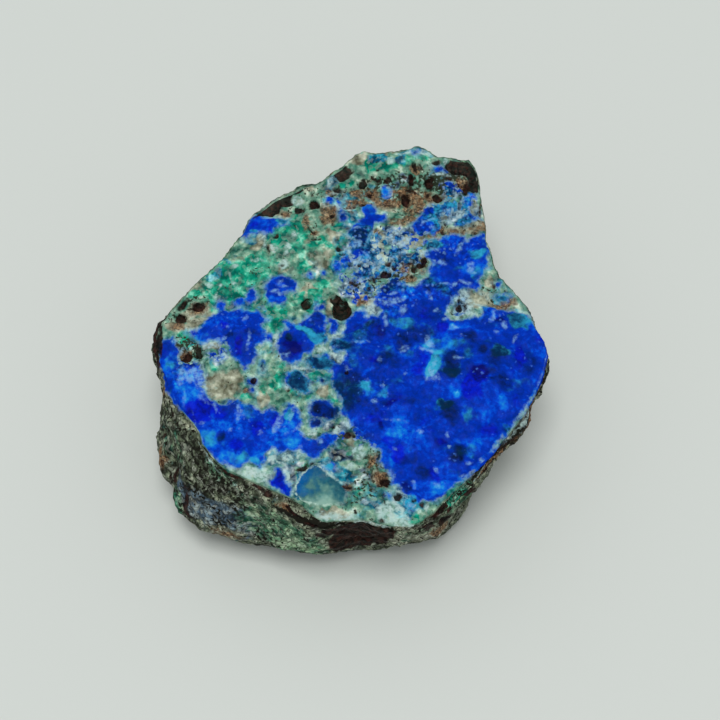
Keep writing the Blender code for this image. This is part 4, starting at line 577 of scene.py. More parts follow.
GALENA_SPOTS = [
    (-6.6, 3, 0.51, 0.48), (-2.6, 10.5, 0.44, 0.4), (-2.5, 9.8, 0.26, 0.2), (-10.7, 12.3, 0.32, 0.45),
    (-11.6, 10.3, 0.2, 0.48), (-9.8, 8.3, 0.26, 0.16), (-7.5, 16.5, 0.56, 0.28, 38),
    (-5.6, 17.2, 0.6, 0.37, -56), (-5.9, 18.4, 0.28, 0.31), (-5.9, 13.3, 0.56, 0.2, -58),
    (-5.6, 12, 0.54, 0.17, -24), (0.3, 20.3, 0.49, 0.7), (-2.6, 19.2, 0.51, 0.23, -10),
    (-3.3, 18.7, 0.33, 0.21, 40), (-0.6, 19.4, 0.33, 0.18, 20), (1, 18.7, 0.31),
    (0.4, 17.2, 0.46, 0.18, 25), (-0.6, 16.9, 0.18), (1.8, 21, 0.6, 0.24, -28), (2.4, 20.4, 0.19, 0.26),
    (3.5, 20.8, 0.26, 0.4), (-3.7, 15.6, 0.23, 0.31), (-3.7, 14.3, 0.18, 0.28), (6.8, 22.5, 0.33),
    (7.7, 22.3, 0.41, 0.24, -50), (9, 20.5, 0.7, 0.45, 25), (6.4, 20.7, 0.33, 0.7), (5.6, 20.8, 0.33, 0.16),
    (9.9, 18.2, 0.51, 0.4), (6.3, 19.2, 0.44, 0.26), (5.7, 17.6, 0.6, 0.37, -50), (5.6, 18.4, 0.46, 0.26),
    (8.5, 18.7, 0.38, 0.43), (11.3, 21, 0.38, 0.16), (9.8, 23.2, 0.6, 0.31), (5.4, 24.8, 0.6, 0.21),
    (10.6, 13, 0.32, 0.34), (14.5, 13.9, 0.46, 0.16, 15), (14.5, 13, 0.33, 0.18), (15.4, 16.2, 0.15, 1.1),
    (6.9, 8, 0.33, 0.51), (6.1, 8.5, 0.6, 0.18, 20), (6.4, 6.8, 0.23, 0.18), (8, 8.9, 0.33, 0.9),
    (1.7, 6.3, 0.26, 0.4), (2.2, 6.7, 0.44, 0.2), (3, 7, 0.51, 0.26, 10), (3.5, 7.1, 0.46, 0.4),
    (3.5, 8.5, 0.38, 0.31), (4.3, 8, 0.31), (1.2, 5.2, 0.26, 0.24), (1.2, 3.9, 0.26, 0.17),
    (-1, 5.9, 0.38, 0.23), (-0.4, 5.6, 0.26, 0.17), (16.6, 5.6, 0.2, 0.48), (12.3, 3.4, 0.19, 0.34),
    (12.3, 2.7, 0.18, 0.28), (13.1, 2.6, 0.22, 0.37), (12.6, 1.2, 0.26, 0.18), (11.4, 1.9, 0.23, 0.31),
    (-20, 2.7, 0.8, 0.51), (-22.1, 1.2, 0.41, 0.7), (-21.8, 3.1, 0.8, 0.43, 40),
    (-19.7, -3.5, 0.41, 0.8, 10), (-21.2, -4.2, 0.56, 0.45, 20), (-20.1, -2.5, 0.44, 0.2, -45),
    (-19.6, -4.7, 0.19, 0.2), (-1.8, -6.3, 0.28), (-1.4, -14.6, 0.46, 0.45), (-0.7, -14.7, 0.22, 0.21),
    (-3.2, -13.3, 0.26, 0.2), (-8.6, -8.7, 0.15, 0.16), (-16.1, -7.4, 0.17, 0.16),
    (-1.4, -21.1, 0.59, 0.28), (4.3, -22.3, 0.33, 0.43), (2.8, -23.1, 0.2, 0.34), (7.4, -23.3, 0.22, 0.34),
    (6.4, -22.8, 0.28, 0.2), (1.4, -25.2, 0.23, 0.18), (2.6, -25.2, 0.2), (-0.6, -24.2, 0.26, 0.2),
    (1.4, -19.8, 0.18, 0.7), (3, -20.4, 0.38, 0.43), (2.6, -22.2, 0.31, 0.2), (2.1, -20.9, 0.31, 0.2),
    (-6.9, -18.7, 0.8, 0.31, 20), (-6, -18, 0.6, 0.23, 18), (13.3, 18.9, 0.46, 0.45),
    (12.9, 20, 0.33, 0.17), (0.4, 3.2, 0.2, 0.14), (10.3, 19.4, 0.18, 0.17), (-4.8, 14.6, 0.15, 0.2),
    (2.2, 22, 0.26, 0.14), (-4, 21.1, 0.38, 0.14, 35), (7.7, 20.8, 0.2, 0.14), (4.1, 17.1, 0.26, 0.14),
    (11, 14.2, 0.17, 0.18), (5.3, 15.9, 0.26, 0.16), (0, 8.2, 0.23, 0.17), (5.4, 8.8, 0.2, 0.14),
    (-2.2, 2.8, 0.6),
]

# Places where blue, white, grey and dark are finely mixed, by strength.
MIXED_TINTS = [
    (2.4, 9.2, 4.6, 3.6, 1), (5.6, 11.6, 3.4, 2.2, 0.9), (0, 5, 2.6, 2, 1), (11.8, 19.2, 1.6, 1.6, 1),
    (11.6, 16.4, 3.4, 1.6, 0.8), (-0.4, -14.6, 2, 1.4, 0.8), (-21.2, -6, 1.6, 1.4, 0.9),
    (-17.6, -3.4, 1.6, 1, 0.8), (12.4, 2.4, 1.2, 1.4, 0.9), (-0.6, -22.4, 2.4, 1.6, 0.6),
    (5.8, -22.9, 1.6, 1.2, 0.6), (3.2, 2.4, 1.8, 1.4, 0.5),
]

# The wall: millimetres round from the middle of the front, and millimetres below the rim.
WALL_SPAN = 0.42  # millimetres of wall for each degree
WALL_FALL = 18.0  # millimetres of wall from the rim to the foot
RIM_OVERLAP = 1.6  # millimetres of the face that the wall's own places reach over
WALL_STARTS = 0.985, 1.015  # path numbers from which the wall's finish comes, and at which it is whole

# Where the stain clouds of the far side begin, how far that line wanders, its size and its blend.
FAR_SIDE, FAR_SIDE_WANDER, FAR_SIDE_SIZE, FAR_SIDE_BLEND = 38.0, 7.0, 6.0, 9.0

# How far fine noise moves the minerals' edges, their tints and the wall's places, and its size.
EDGE_DRIFT, TINT_DRIFT, WALL_DRIFT, DRIFT_SIZE = 0.25, 0.6, 0.5, 1.6
TINT_REACH = 1.6  # of its radii, where a tint has faded to nothing
FAR_OUTSIDE = -99.0

WALL_GALENA_SPOTS = [
    (0.3, 6.6, 4.2, 3), (-0.2, 10.6, 3.3), (3.8, 5.6, 2.8, 1), (1.5, 9.2, 3.9, 2.8, 115),
    (-2, 12.8, 1, 1.3, 25), (2.4, 11.8, 0.7, 0.9), (-4.3, 7.6, 0.6, 0.8), (-5.2, 3.6, 0.7, 1),
    (-35.6, 1, 3.6, 1.3), (-19.4, 10.3, 0.5, 2, -20), (-20.3, 8, 0.4, 0.5), (-23.4, 10.6, 0.4, 0.8),
    (-24.1, 8.4, 0.3, 0.5), (-12.4, 0.5, 1.4, 0.4), (-16.4, 0.7, 1.2, 0.35), (-19.2, 0.4, 1.6, 0.3),
    (-11.2, 1.3, 0.5, 0.6), (-28.8, 8.7, 0.4, 0.6), (-27.2, 8.7, 0.4, 0.5), (-27.2, 3.2, 0.4, 0.5),
    (10.4, 5.2, 0.5, 1.2), (12.6, 6.4, 0.4, 1.6, 20), (-7.4, 2, 1.2, 0.5), (9.2, 2.4, 1.3, 1.6),
    (8.2, 8.6, 0.8, 1.2), (10.8, 9.6, 1.4, 0.7), (14.2, 8, 1.2, 0.6, 20), (20.6, 3.6, 2.4, 0.5, 10),
    (28, 2.4, 2.6, 0.5), (33, 4.6, 2, 0.6), (16.6, 5.6, 1.4, 0.5),
]
WALL_GREEN_TINTS = [
    (11.8, 3.6, 1.6, 3, 1.8), (-21, 11.6, 0.9, 1.3, 1.3), (-8.4, 9.4, 4, 2.6, 0.7), (-17.6, 2, 1.8, 2, 0.5),
    (5.8, 2.2, 1.6, 2.2, 0.7), (-12, 6, 3, 3, 0.35), (-25, 7, 3, 2.6, 0.3), (12.4, 9, 2.4, 2, 0.6),
    (6, 9.8, 2.4, 1.6, 0.35), (-6, 12.4, 2.4, 2, 0.5), (60, 8, 8, 4, 0.4), (-60, 9, 7, 4, 0.4),
]
WALL_SHADE_TINTS = [
    (-23.4, 6.2, 4, 3.6, -0.18), (-15.6, 7.6, 3, 2.4, -0.12), (-7, 10.8, 2.6, 1.4, 0.5),
    (8.8, 11.8, 2.8, 1.6, 0.5), (9.6, 6, 1.4, 2, -0.2), (-26.4, 11.6, 1.4, 1.6, 0.1),
]
WALL_SPECKLE_TINTS = [
    (-6.6, 3, 2.8, 1.6, 0.4), (-3.6, 2.4, 2, 1.6, 0.3), (24, 3.5, 10, 2, 0.25), (-30, 6, 4, 4, 0.1),
    (-18, 4, 3, 3, 0.12), (60, 5, 10, 3, 0.15),
]
WALL_SLATE_TINTS = [
    (15.4, 1.4, 2.2, 1, 1.3), (-17.4, 9, 3.4, 1.8, 1), (-13.6, 9.6, 1.6, 2.2, 1), (-21.6, 8.4, 0.9, 1, 0.6),
    (24, 2.6, 6, 1.6, 0.6), (70, 6, 6, 3, 0.6), (-52, 10, 5, 3, 0.5),
]
WALL_CREAM_TINTS = [
    (-29.8, 3.4, 1.2, 3.4, 1.3), (-7, 11.4, 2.8, 0.8, 1.3), (-15, 11.2, 1.8, 0.8, 1.2),
    (-5.2, 11, 2.2, 1.6, 0.7), (5.4, 9.6, 2.4, 2.6, 0.8), (9, 12, 3, 1.8, 0.8), (20, 6.6, 3, 1.2, 0.7),
    (1, 2, 3, 1.4, 0.7), (45, 7, 7, 4, 0.6), (-72, 6, 6, 4, 0.7),
]
# Pale crust on the wall; the tiny spot in the galena pocket at the front is a painted glint.
WALL_PALE_AND_GLINT_SPOTS = [
    (0.6, 1, 3, 0.7), (5.6, 1.2, 1.8, 0.8), (-0.6, 12.6, 0.22, 0.4), (24, 1.6, 3, 0.3, 5),
    (16, 4.2, 1.6, 0.25), (-19.2, 1.4, 1.8, 0.2, 8),
]
WALL_BROWN_SPOTS = [
    (-29.9, 3, 0.6, 2.6), (-8.8, 2, 1, 0.7), (-15, 11.4, 1.4, 0.5), (18, 4.8, 3, 0.5, 6), (26, 4, 4, 0.6),
    (9.6, 10.8, 1.2, 0.6), (-25.8, 11.2, 0.9, 1.2), (52, 4, 4, 1.4, 10), (-46, 5, 3, 1.4), (-80, 3, 4, 1.2),
]
WALL_LINARITE_SPOTS = [
    (-30, 0.2, 3.4, 0.9), (17, 0.3, 3, 0.8), (32, 0.2, 6, 0.8),
]

# Where the rock is finely speckled with dark grains, by share.
SPECKLE_TINTS = [
    (5, 19.6, 6.4, 1.8, 0.26, 5), (12, 20.4, 2.6, 2.2, 0.24), (6.6, 16, 2.4, 2.4, 0.1, 30),
    (4.6, 7.2, 4, 1.4, 0.22, 25), (-20.8, 2.2, 2.6, 1.4, 0.16, 35), (-21.2, -3.4, 1.6, 1.6, 0.28),
    (-8, 17.4, 3.2, 1.2, 0.14, 30), (-3.4, 17.6, 1.6, 2.4, 0.1), (16.6, 4.4, 2.4, 1.2, 0.1),
    (1.8, -18.6, 1.4, 3, 0.2, -20), (-1, -22, 2.4, 1.8, 0.1), (13.4, 14, 2.6, 0.6, 0.2),
    (-7, 14.2, 1.6, 1.6, 0.08), (0, 4.6, 2.4, 1.4, 0.14), (6.4, -24.2, 2.4, 1, 0.1),
]

# Where the blue is dusted with white and lavender crystals, and where its painted glints are denser and
# paler, by strength.
FROST_AND_GLINT_TINTS = [
    (4.4, 4.2, 2.4, 2.4, 1), (9.8, 4.8, 2.2, 1.2, 0.8), (12.4, 10.8, 3, 1.8, 0.6), (8.6, 13.8, 2, 1.6, 0.8),
    (-15.8, 0.2, 2.2, 1.6, 0.4), (-17.4, -3.4, 1.6, 1.4, 0.8), (-21.2, -6.6, 1.8, 1.4, 1),
    (1.6, -9, 2.2, 2.6, 0.45), (15.6, -7.2, 2.4, 1, 0.5), (-10.6, -13.4, 1.6, 1.6, 0.5),
    (-15.6, -13, 2.4, 2, 0.3), (11.4, -18.4, 3, 2, 0.3), (2.6, 9.4, 5, 3.4, 1), (11.6, 17, 3.6, 2.4, 0.9),
    (-6.8, 0, 2.4, 1.6, 0.4), (0.8, 13.4, 1.4, 2, 0.5), (12.4, 2.4, 1.6, 1.4, 1), (3, -1, 3, 2, 0.35),
    (16.4, 1.4, 2.4, 1, 0.5), (-3, -14.2, 2, 1.4, 0.8), (-12.6, -3, 1, 1.8, 0.5), (5.8, -22.9, 2, 1.4, 0.7),
    (-3, -2, 1.6, 2, 0.5), (20.4, -7.4, 1.6, 3, 0.25),
]


def srgb(red, green, blue):
    """A colour given from 0 to 255 as it is seen, turned into the linear values that a shader mixes."""
    seen = np.array([red, green, blue]) / 255.0
    linear = np.where(seen <= 0.04045, seen / 12.92, ((seen + 0.055) / 1.055) ** 2.4)
    return (*linear.tolist(), 1.0)


# ------------------------------------------------------------
# Noise, outlines and distances.
# ------------------------------------------------------------


def corner_values(x, y, z, seed):
    """A repeatable value from -1 to 1 for each whole-number corner of a lattice."""
    mixed = (x * 374761393 + y * 668265263 + z * 1440662683 + seed * 1274126177) & 0xFFFFFFFF
    mixed = ((mixed ^ (mixed >> 13)) * 1274126177) & 0xFFFFFFFF
    return ((mixed ^ (mixed >> 16)) & 0xFFFF) / 32767.5 - 1.0


def noise(points, size, seed):
    """Smooth noise from -1 to 1: the values at a lattice cell's eight corners, by smoothstep weights."""
    cell = np.floor(points / size).astype(np.int64)
    part = points / size - cell
    weight = part * part * (3.0 - 2.0 * part)
    total = np.zeros(points.shape[:-1])
    for dx in (0, 1):
        for dy in (0, 1):
            for dz in (0, 1):
                step = np.array([dx, dy, dz])
                share = np.prod(np.where(step, weight, 1.0 - weight), axis=-1)
                corner = cell + step
                total += share * corner_values(corner[..., 0], corner[..., 1], corner[..., 2], seed)
    return total


def fractal(points, size, octaves, seed):
    """Noise summed over octaves, each half as large and half as strong as the one before."""
    return sum(0.5**k * noise(points, size * 0.5**k, seed + k) for k in range(octaves))


def ridges(points, size, octaves, seed):
    """Creased noise around zero, with sharp crests where plain noise crosses zero."""
    layers = (np.abs(noise(points, size * 0.5**k, seed + k)) for k in range(octaves))
    return sum(0.5**k * (0.6 - 2.0 * layer) for k, layer in enumerate(layers))


def grains(points, size, seed):
    """Packed round grains: 1 at a grain's middle, falling to 0 and below between grains.

    Each lattice cell holds one grain at a random place, and the nearest of the 27 around a point counts.
    """
    cell = np.floor(points / size).astype(np.int64)
    nearest = np.full(points.shape[:-1], 9.0)
    for dx in (-1, 0, 1):
        for dy in (-1, 0, 1):
            for dz in (-1, 0, 1):
                at = cell + np.array([dx, dy, dz])
                x, y, z = at[..., 0], at[..., 1], at[..., 2]
                place = [at[..., k] + 0.5 + 0.42 * corner_values(x, y, z, seed + k) for k in range(3)]
                away = sum((points[..., k] / size - place[k]) ** 2 for k in range(3))
                nearest = np.minimum(nearest, away)
    return 1.0 - np.sqrt(nearest) / 0.62


def ease(value):
    """Smoothstep of a value, held between 0 and 1."""
    value = np.clip(value, 0.0, 1.0)
    return value * value * (3.0 - 2.0 * value)


def reach(outline, angle):
    """Distance from the axis to a closed outline along each angle: where the ray last crosses an edge."""
    start = np.array(outline, float)
    side = np.roll(start, -1, axis=0) - start
    ray = np.stack([np.cos(angle), np.sin(angle)], axis=1)
    cross = ray[:, None, 0] * side[None, :, 1] - ray[:, None, 1] * side[None, :, 0]
    cross = np.where(np.abs(cross) < 1e-9, 1e-9, cross)
    along = (start[:, 0] * side[:, 1] - start[:, 1] * side[:, 0])[None, :] / cross
    share = (start[None, :, 0] * ray[:, None, 1] - start[None, :, 1] * ray[:, None, 0]) / cross
    hit = (share >= -1e-9) & (share <= 1.0 + 1e-9) & (along > 0.0)
    return np.where(hit, along, 0.0).max(axis=1)


def outline_depth(x, y, outlines):
    """Signed distance into the nearest of several closed outlines: positive inside, negative outside.

    The size is the distance to the nearest edge, and a crossing count along x gives the sign.
    """
    deepest = np.full(x.shape, FAR_OUTSIDE)
    for outline in outlines:
        inside = np.zeros(x.shape, bool)
        nearest = np.full(x.shape, 1e9)
        for (ax, ay), (bx, by) in zip(outline, outline[1:] + outline[:1]):
            step_x, step_y = bx - ax, by - ay
            along = np.clip(((x - ax) * step_x + (y - ay) * step_y) / (step_x**2 + step_y**2), 0.0, 1.0)
            nearest = np.minimum(nearest, (x - ax - along * step_x) ** 2 + (y - ay - along * step_y) ** 2)
            spans = (ay > y) != (by > y)
            crossing = ax + (y - ay) * step_x / (step_y if step_y else 1e-9)
            inside ^= spans & (x < crossing)
        depth = np.where(inside, 1.0, -1.0) * np.sqrt(nearest)
        deepest = np.maximum(deepest, depth)
    return deepest


def passed(path, start, end):
    """0 up to one path number, 1 from another and smoothstep between them, as a column."""
    return ease((path - start) / (end - start))[:, None]


def from_spot(x, y, mid_x, mid_y, long, wide=None, turn=0.0):
    """How far a place is from a spot's middle, as a share of the spot's own radii."""
    cos, sin = math.cos(math.radians(turn)), math.sin(math.radians(turn))
    along = (x - mid_x) * cos + (y - mid_y) * sin
    across = (y - mid_y) * cos - (x - mid_x) * sin
    return np.hypot(along / long, across / (wide or long))


def spot_depth(x, y, spots):
    """Signed distance into the nearest of several spots, in millimetres of the spot's smaller radius."""
    deepest = np.full(x.shape, FAR_OUTSIDE)
    for spot in spots:
        deepest = np.maximum(deepest, (1.0 - from_spot(x, y, *spot)) * min(spot[2:4]))
    return deepest


def tint_sum(x, y, tints, values=1, value=0):
    """The sum of soft tints: each is its strength in the middle and fades to nothing at its reach.

    After its radii a tint has a number of values, of which one is summed, and then its turn. Those left out
    are 0.
    """
    total = np.zeros(x.shape)
    for tint in tints:
        given = (*tint[4:], 0.0, 0.0)
        total += given[value] * ease(TINT_REACH - from_spot(x, y, *tint[:4], given[values]))
    return total


# ------------------------------------------------------------
# The stone's surface.
# ------------------------------------------------------------


def from_vugs(flat):
    """For each vug, the points' way from its middle as a share of its wobbly radius, and its depth."""
    wobble = VUG_WOBBLE * noise(flat, VUG_WOBBLE_SIZE, 23)
    return [(from_spot(flat[..., 0], flat[..., 1], *vug) + wobble, depth) for *vug, depth in VUGS]


def face_relief(flat):
    """Height of the upper face over its plane: broad waves, hollows and swellings, less the vugs."""
    height = FACE_WAVE * fractal(flat, FACE_WAVE_SIZE, 3, 11)
    for *swell, rise in SWELLS:
        height += rise * ease(SWELL_REACH - from_spot(flat[..., 0], flat[..., 1], *swell))
    for away, depth in from_vugs(flat):
        height -= VUG_DEPTH_SHARE * depth * ease(1.6 - 1.3 * away)
    return height


def vug_share(flat):
    """How far a point of the face is into a vug: 1 in its middle, 0 from its edge outwards."""
    return np.max([ease(1.6 - 1.7 * away) for away, _ in from_vugs(flat)], axis=0)


def plain_surface(angle, path):
    """The stone before its roughness, over a row of angles and a column of paths.

    The face is a share of the rim's reach, on a sloping plane with relief. The wall runs through the four
    outlines in equal shares of the path. The base rounds under and is flat.
    """
    turn = np.stack([np.cos(angle), np.sin(angle), np.zeros_like(angle)], axis=1)
    rim_r, foot_r = reach(RIM, angle), reach(FOOT, angle)
    rim_z = FACE_HEIGHT + FACE_SLOPE * rim_r * turn[:, 1]
    lip_z = np.minimum(LIP_HEIGHT + LIP_WANDER * noise(turn, 0.45, 31), rim_z - LIP_BELOW_RIM)
    waist_z = WAIST_HEIGHT + WAIST_WANDER * noise(turn, 0.5, 37)
    knots_r = np.stack([rim_r, reach(LIP, angle), reach(WAIST, angle), foot_r])
    knots_z = np.stack([rim_z, lip_z, waist_z, np.full_like(angle, FOOT_HEIGHT)])

    place = np.clip(path - 1.0, 0.0, 1.0) * 3.0
    first = np.minimum(place.astype(int), 2)
    within = (place - first)[:, None]
    wall_r = knots_r[first] * (1.0 - within) + knots_r[first + 1] * within
    wall_z = knots_z[first] * (1.0 - within) + knots_z[first + 1] * within

    on_face, on_base = (path <= 1.0)[:, None], (path >= 2.0)[:, None]
    face_r = np.clip(path, 0.0, 1.0)[:, None] * rim_r
    base_r = np.clip(3.0 - path, 0.0, 1.0)[:, None] * foot_r
    radius = np.where(on_face, face_r, np.where(on_base, base_r, wall_r))
    x, y = radius * turn[:, 0], radius * turn[:, 1]
    flat = np.stack([x, y, np.zeros_like(x)], axis=-1)
    lifted = FACE_HEIGHT + FACE_SLOPE * y + face_relief(flat) * ease((rim_r - face_r) / RELIEF_FROM_RIM)
    lifted -= RIM_DROP * (1.0 - ease((rim_r - face_r) / RIM_ROUND))
    base_z = FOOT_HEIGHT * (1.0 - ease((foot_r - base_r) / BASE_ROUND))
    flat[..., 2] = np.where(on_face, lifted, np.where(on_base, base_z, wall_z))
    return flat


def grid_normals(surface):
    """Unit normals of a grid that wraps round: the cross product of the steps to its neighbours."""
    along = np.gradient(surface, axis=0)
    around = np.roll(surface, -1, axis=1) - np.roll(surface, 1, axis=1)
    normal = np.cross(along, around)
    return normal / np.maximum(np.linalg.norm(normal, axis=-1, keepdims=True), 1e-9)


def wall_relief(points):
    """Push of the wall along its normal: breaks, creases, ledges parallel to the face, chips and lumps."""
    breaks, creases = fractal(points, WALL_BREAK, 3, 41), ridges(points, WALL_CREASE, 2, 47)
    push = WALL_ROUGHNESS * (1.1 * breaks + 0.7 * creases)
    bedding = points[..., 2] - FACE_SLOPE * points[..., 1]
    bedding += LEDGE_WANDER * noise(points, LEDGE_WANDER_SIZE, 53)
    step = bedding / LEDGE_SPACING - np.floor(bedding / LEDGE_SPACING)
    push += LEDGE_DEPTH * (step - 0.5) * ease(0.5 + 1.5 * noise(points, LEDGE_PATCH, 59))
    for middle, radii, rise in WALL_FORMS:
        away = np.linalg.norm((points - np.array(middle)) / np.array(radii), axis=-1)
        push += rise * ease(FORM_REACH - away)
    return push


def minerals(plain, angle, path):
    """The places of the minerals over the grid, by name: depths in millimetres, and tints by strength.

    Both ways of giving a place are worked out for every point. Wall places reach a little over the rim. The
    far side has clouds of its own.
    """
    x, y = plain[..., 0], plain[..., 1]
    drift_x, drift_y = fractal(plain, DRIFT_SIZE, 3, 71), fractal(plain, DRIFT_SIZE, 3, 75)
    face_x, face_y = x + EDGE_DRIFT * drift_x, y + EDGE_DRIFT * drift_y
    cloud_x, cloud_y = x + TINT_DRIFT * drift_x, y + TINT_DRIFT * drift_y
    degrees = np.degrees(angle)
    turned = np.where(degrees > 90.0, degrees - 270.0, degrees + 90.0)[None, :]
    around = turned * WALL_SPAN + WALL_DRIFT * drift_x
    down = (path - 1.0)[:, None] * WALL_FALL + WALL_DRIFT * drift_y
    wall = passed(path, *WALL_STARTS) * np.ones_like(x)
    begins = FAR_SIDE + FAR_SIDE_WANDER * fractal(plain, FAR_SIDE_SIZE, 3, 103)
    far_side = ease((np.abs(around) - begins) / FAR_SIDE_BLEND) * wall

    def depth(outlines=(), spots=(), wall_spots=()):
        """Depth into a mineral's places on the face or on the wall, and near the rim the greater one."""
        on_face = np.maximum(outline_depth(face_x, face_y, outlines), spot_depth(face_x, face_y, spots))
        on_wall = spot_depth(around, down, wall_spots)
        over_rim = np.where(down > -RIM_OVERLAP, np.maximum(on_face, on_wall), on_face)
        return np.where(wall > 0.5, on_wall, over_rim)

    def tint(face_tints, wall_tints=(), **which):
        """The sum of a mineral's tints: those of the face, or those of the wall."""
        on_face = tint_sum(cloud_x, cloud_y, face_tints, **which)
        on_wall = tint_sum(around, down, wall_tints)
        return np.where(wall > 0.5, on_wall, on_face)

    def clouds(size, seed, amount):
        """Clouds of a stain on the far side: its share times an amount times eased noise."""
        return far_side * amount * ease(2.4 * fractal(plain, size, 3, seed))

    mixed = tint(MIXED_TINTS)
    blue = depth(LINARITE_OUTLINES, LINARITE_SPOTS, WALL_LINARITE_SPOTS)
    brown = depth((), LIMONITE_SPOTS, WALL_BROWN_SPOTS)
    return {
        "linarite": np.maximum(blue, 1.15 * np.minimum(mixed, 1.0) - 1.23),
        "galena": depth(GALENA_OUTLINES, GALENA_SPOTS, WALL_GALENA_SPOTS),
        "limonite": np.maximum(brown, clouds(4.5, 99, 1.5) - 1.1),
        # pale crust, with painted highlights along the rim and, on the wall, a painted glint
        "pale": depth((), PALE_CRUST_AND_RIM_HIGHLIGHT_SPOTS, WALL_PALE_AND_GLINT_SPOTS),
        "glaze": depth(GLAZE_OUTLINES),
        "blue_tint": tint(BLUE_TINTS, values=2),
        "blue_cast": tint(BLUE_TINTS, values=2, value=1),
        "green_tint": tint(GREEN_TINTS, WALL_GREEN_TINTS) + clouds(6.0, 91, 0.9),
        "teal_tint": tint(TEAL_TINTS),
        "slate_tint": tint(SLATE_TINTS, WALL_SLATE_TINTS) + clouds(6.5, 97, 0.8),
        "cream_tint": tint(CREAM_TINTS, WALL_CREAM_TINTS) + clouds(5.0, 93, 0.8),
        "shade": tint(SHADE_TINTS, WALL_SHADE_TINTS),
        "mixed": mixed,
        "speckle": tint(SPECKLE_TINTS, WALL_SPECKLE_TINTS),
        "frost_and_glints": tint(FROST_AND_GLINT_TINTS),
        "vug": np.where(wall > 0.5, 0.0, vug_share(plain)),
        "wall": wall,
    }


def finished_surface(angle, path):
    """The stone with all its roughness, and its minerals: pushes along the normals, the base held flat."""
    plain = plain_surface(angle, path)
    normal = grid_normals(plain)
    places = minerals(plain, angle, path)
    wall_share = passed(path, *WALL_ROUGH_STARTS) * (1.0 - passed(path, *WALL_ROUGH_ENDS))
    face_share = 1.0 - passed(path, *FACE_ROUGH_ENDS)
    rough_face = FACE_ROUGHNESS * fractal(plain, FACE_ROUGHNESS_SIZE, 2, 61)
    push = wall_share * wall_relief(plain) + face_share * rough_face

    off_base = 1.0 - passed(path, *GRAIN_ENDS)
    grain = grains(plain, GRAIN_SIZE, 83)
    rocky = np.clip(places["wall"] + 0.35 * ease(0.5 - places["linarite"]), 0.0, 1.0)
    push += off_base * GRAIN_HEIGHT * rocky * (grain - 0.3)
    crust = ease(places["linarite"] / 0.5 + 0.4) * (1.0 - places["wall"])
    lumps = 0.6 + 0.8 * fractal(plain, CRUST_LUMP, 3, 91)
    push += CRUST_HEIGHT * crust * lumps
    push -= GALENA_STEP * ease(places["galena"] / 0.3 + 0.5) * off_base * (1.0 - places["wall"])

    surface = plain + normal * push[..., None]
    hollow = BASE_HOLLOW * ease(2.2 * (fractal(plain, BASE_HOLLOW_SIZE, 2, 67) - 0.32))
    from_axis = np.hypot(plain[..., 0], plain[..., 1])
    inside = passed(path, *HOLLOW_STARTS) * ease((from_axis - 6.0) / 3.0)
    lift = np.where(path[:, None] >= 2.0, hollow * inside, 0.0)
    surface[..., 2] = np.maximum(surface[..., 2], 0.0) + lift
    return surface, places


def wrapped_faces(rows, columns):
    """Quads of a grid that wraps round, with a fan at each end to the two points that follow the grid."""
    ring = np.arange(columns)
    after = (ring + 1) % columns
    start = (np.arange(rows - 1) * columns)[:, None]
    below = start + columns
    quads = np.stack([start + ring, below + ring, below + after, start + after], axis=2).reshape(-1, 4)
    top, bottom, last = rows * columns, rows * columns + 1, (rows - 1) * columns
    top_fan = np.stack([np.full(columns, top), ring, after], axis=1)
    bottom_fan = np.stack([last + ring, np.full(columns, bottom), last + after], axis=1)
    return quads.tolist() + top_fan.tolist() + bottom_fan.tolist()


def add_object(name, points, faces, material, attributes):
    """A mesh object in metres, with one float attribute for each named array."""
    mesh = bpy.data.meshes.new(name)
    mesh.from_pydata((points * MM).tolist(), [], faces)
    for label, values in attributes.items():
        layer = mesh.attributes.new(label, "FLOAT", "POINT")
        layer.data.foreach_set("value", np.asarray(values, np.float32).ravel())
    mesh.shade_smooth()
    mesh.materials.append(material)
    made = bpy.data.objects.new(name, mesh)
    bpy.context.scene.collection.objects.link(made)
    return made


def build_stone(material):
    """The finished stone as one closed mesh."""
    face = np.linspace(0.0, 1.0, FACE_STEPS + 1)[1:]
    wall = np.linspace(1.0, 2.0, WALL_STEPS + 1)[1:]
    base = np.linspace(2.0, 3.0, BASE_STEPS + 1)[1:-1]
    path = np.concatenate([face, wall, base])
    angle = np.arange(ROUND_STEPS) * (2.0 * math.pi / ROUND_STEPS)
    surface, places = finished_surface(angle, path)
    top, bottom = surface[0].mean(axis=0), surface[-1].mean(axis=0)
    points = np.concatenate([surface.reshape(-1, 3), [top, bottom]]) + np.array([AXIS_X, AXIS_Y, 0.0])
    values = {}
    for label, grid in places.items():
        values[label] = np.concatenate([grid.ravel(), [grid[0].mean(), grid[-1].mean()]])
    return add_object("stone_surface", points, wrapped_faces(len(path), ROUND_STEPS), material, values)


# ------------------------------------------------------------
# Shader groups. Positions are the object's own, in millimetres.
# ------------------------------------------------------------

FLOAT, VECTOR, COLOUR = "NodeSocketFloat", "NodeSocketVector", "NodeSocketColor"


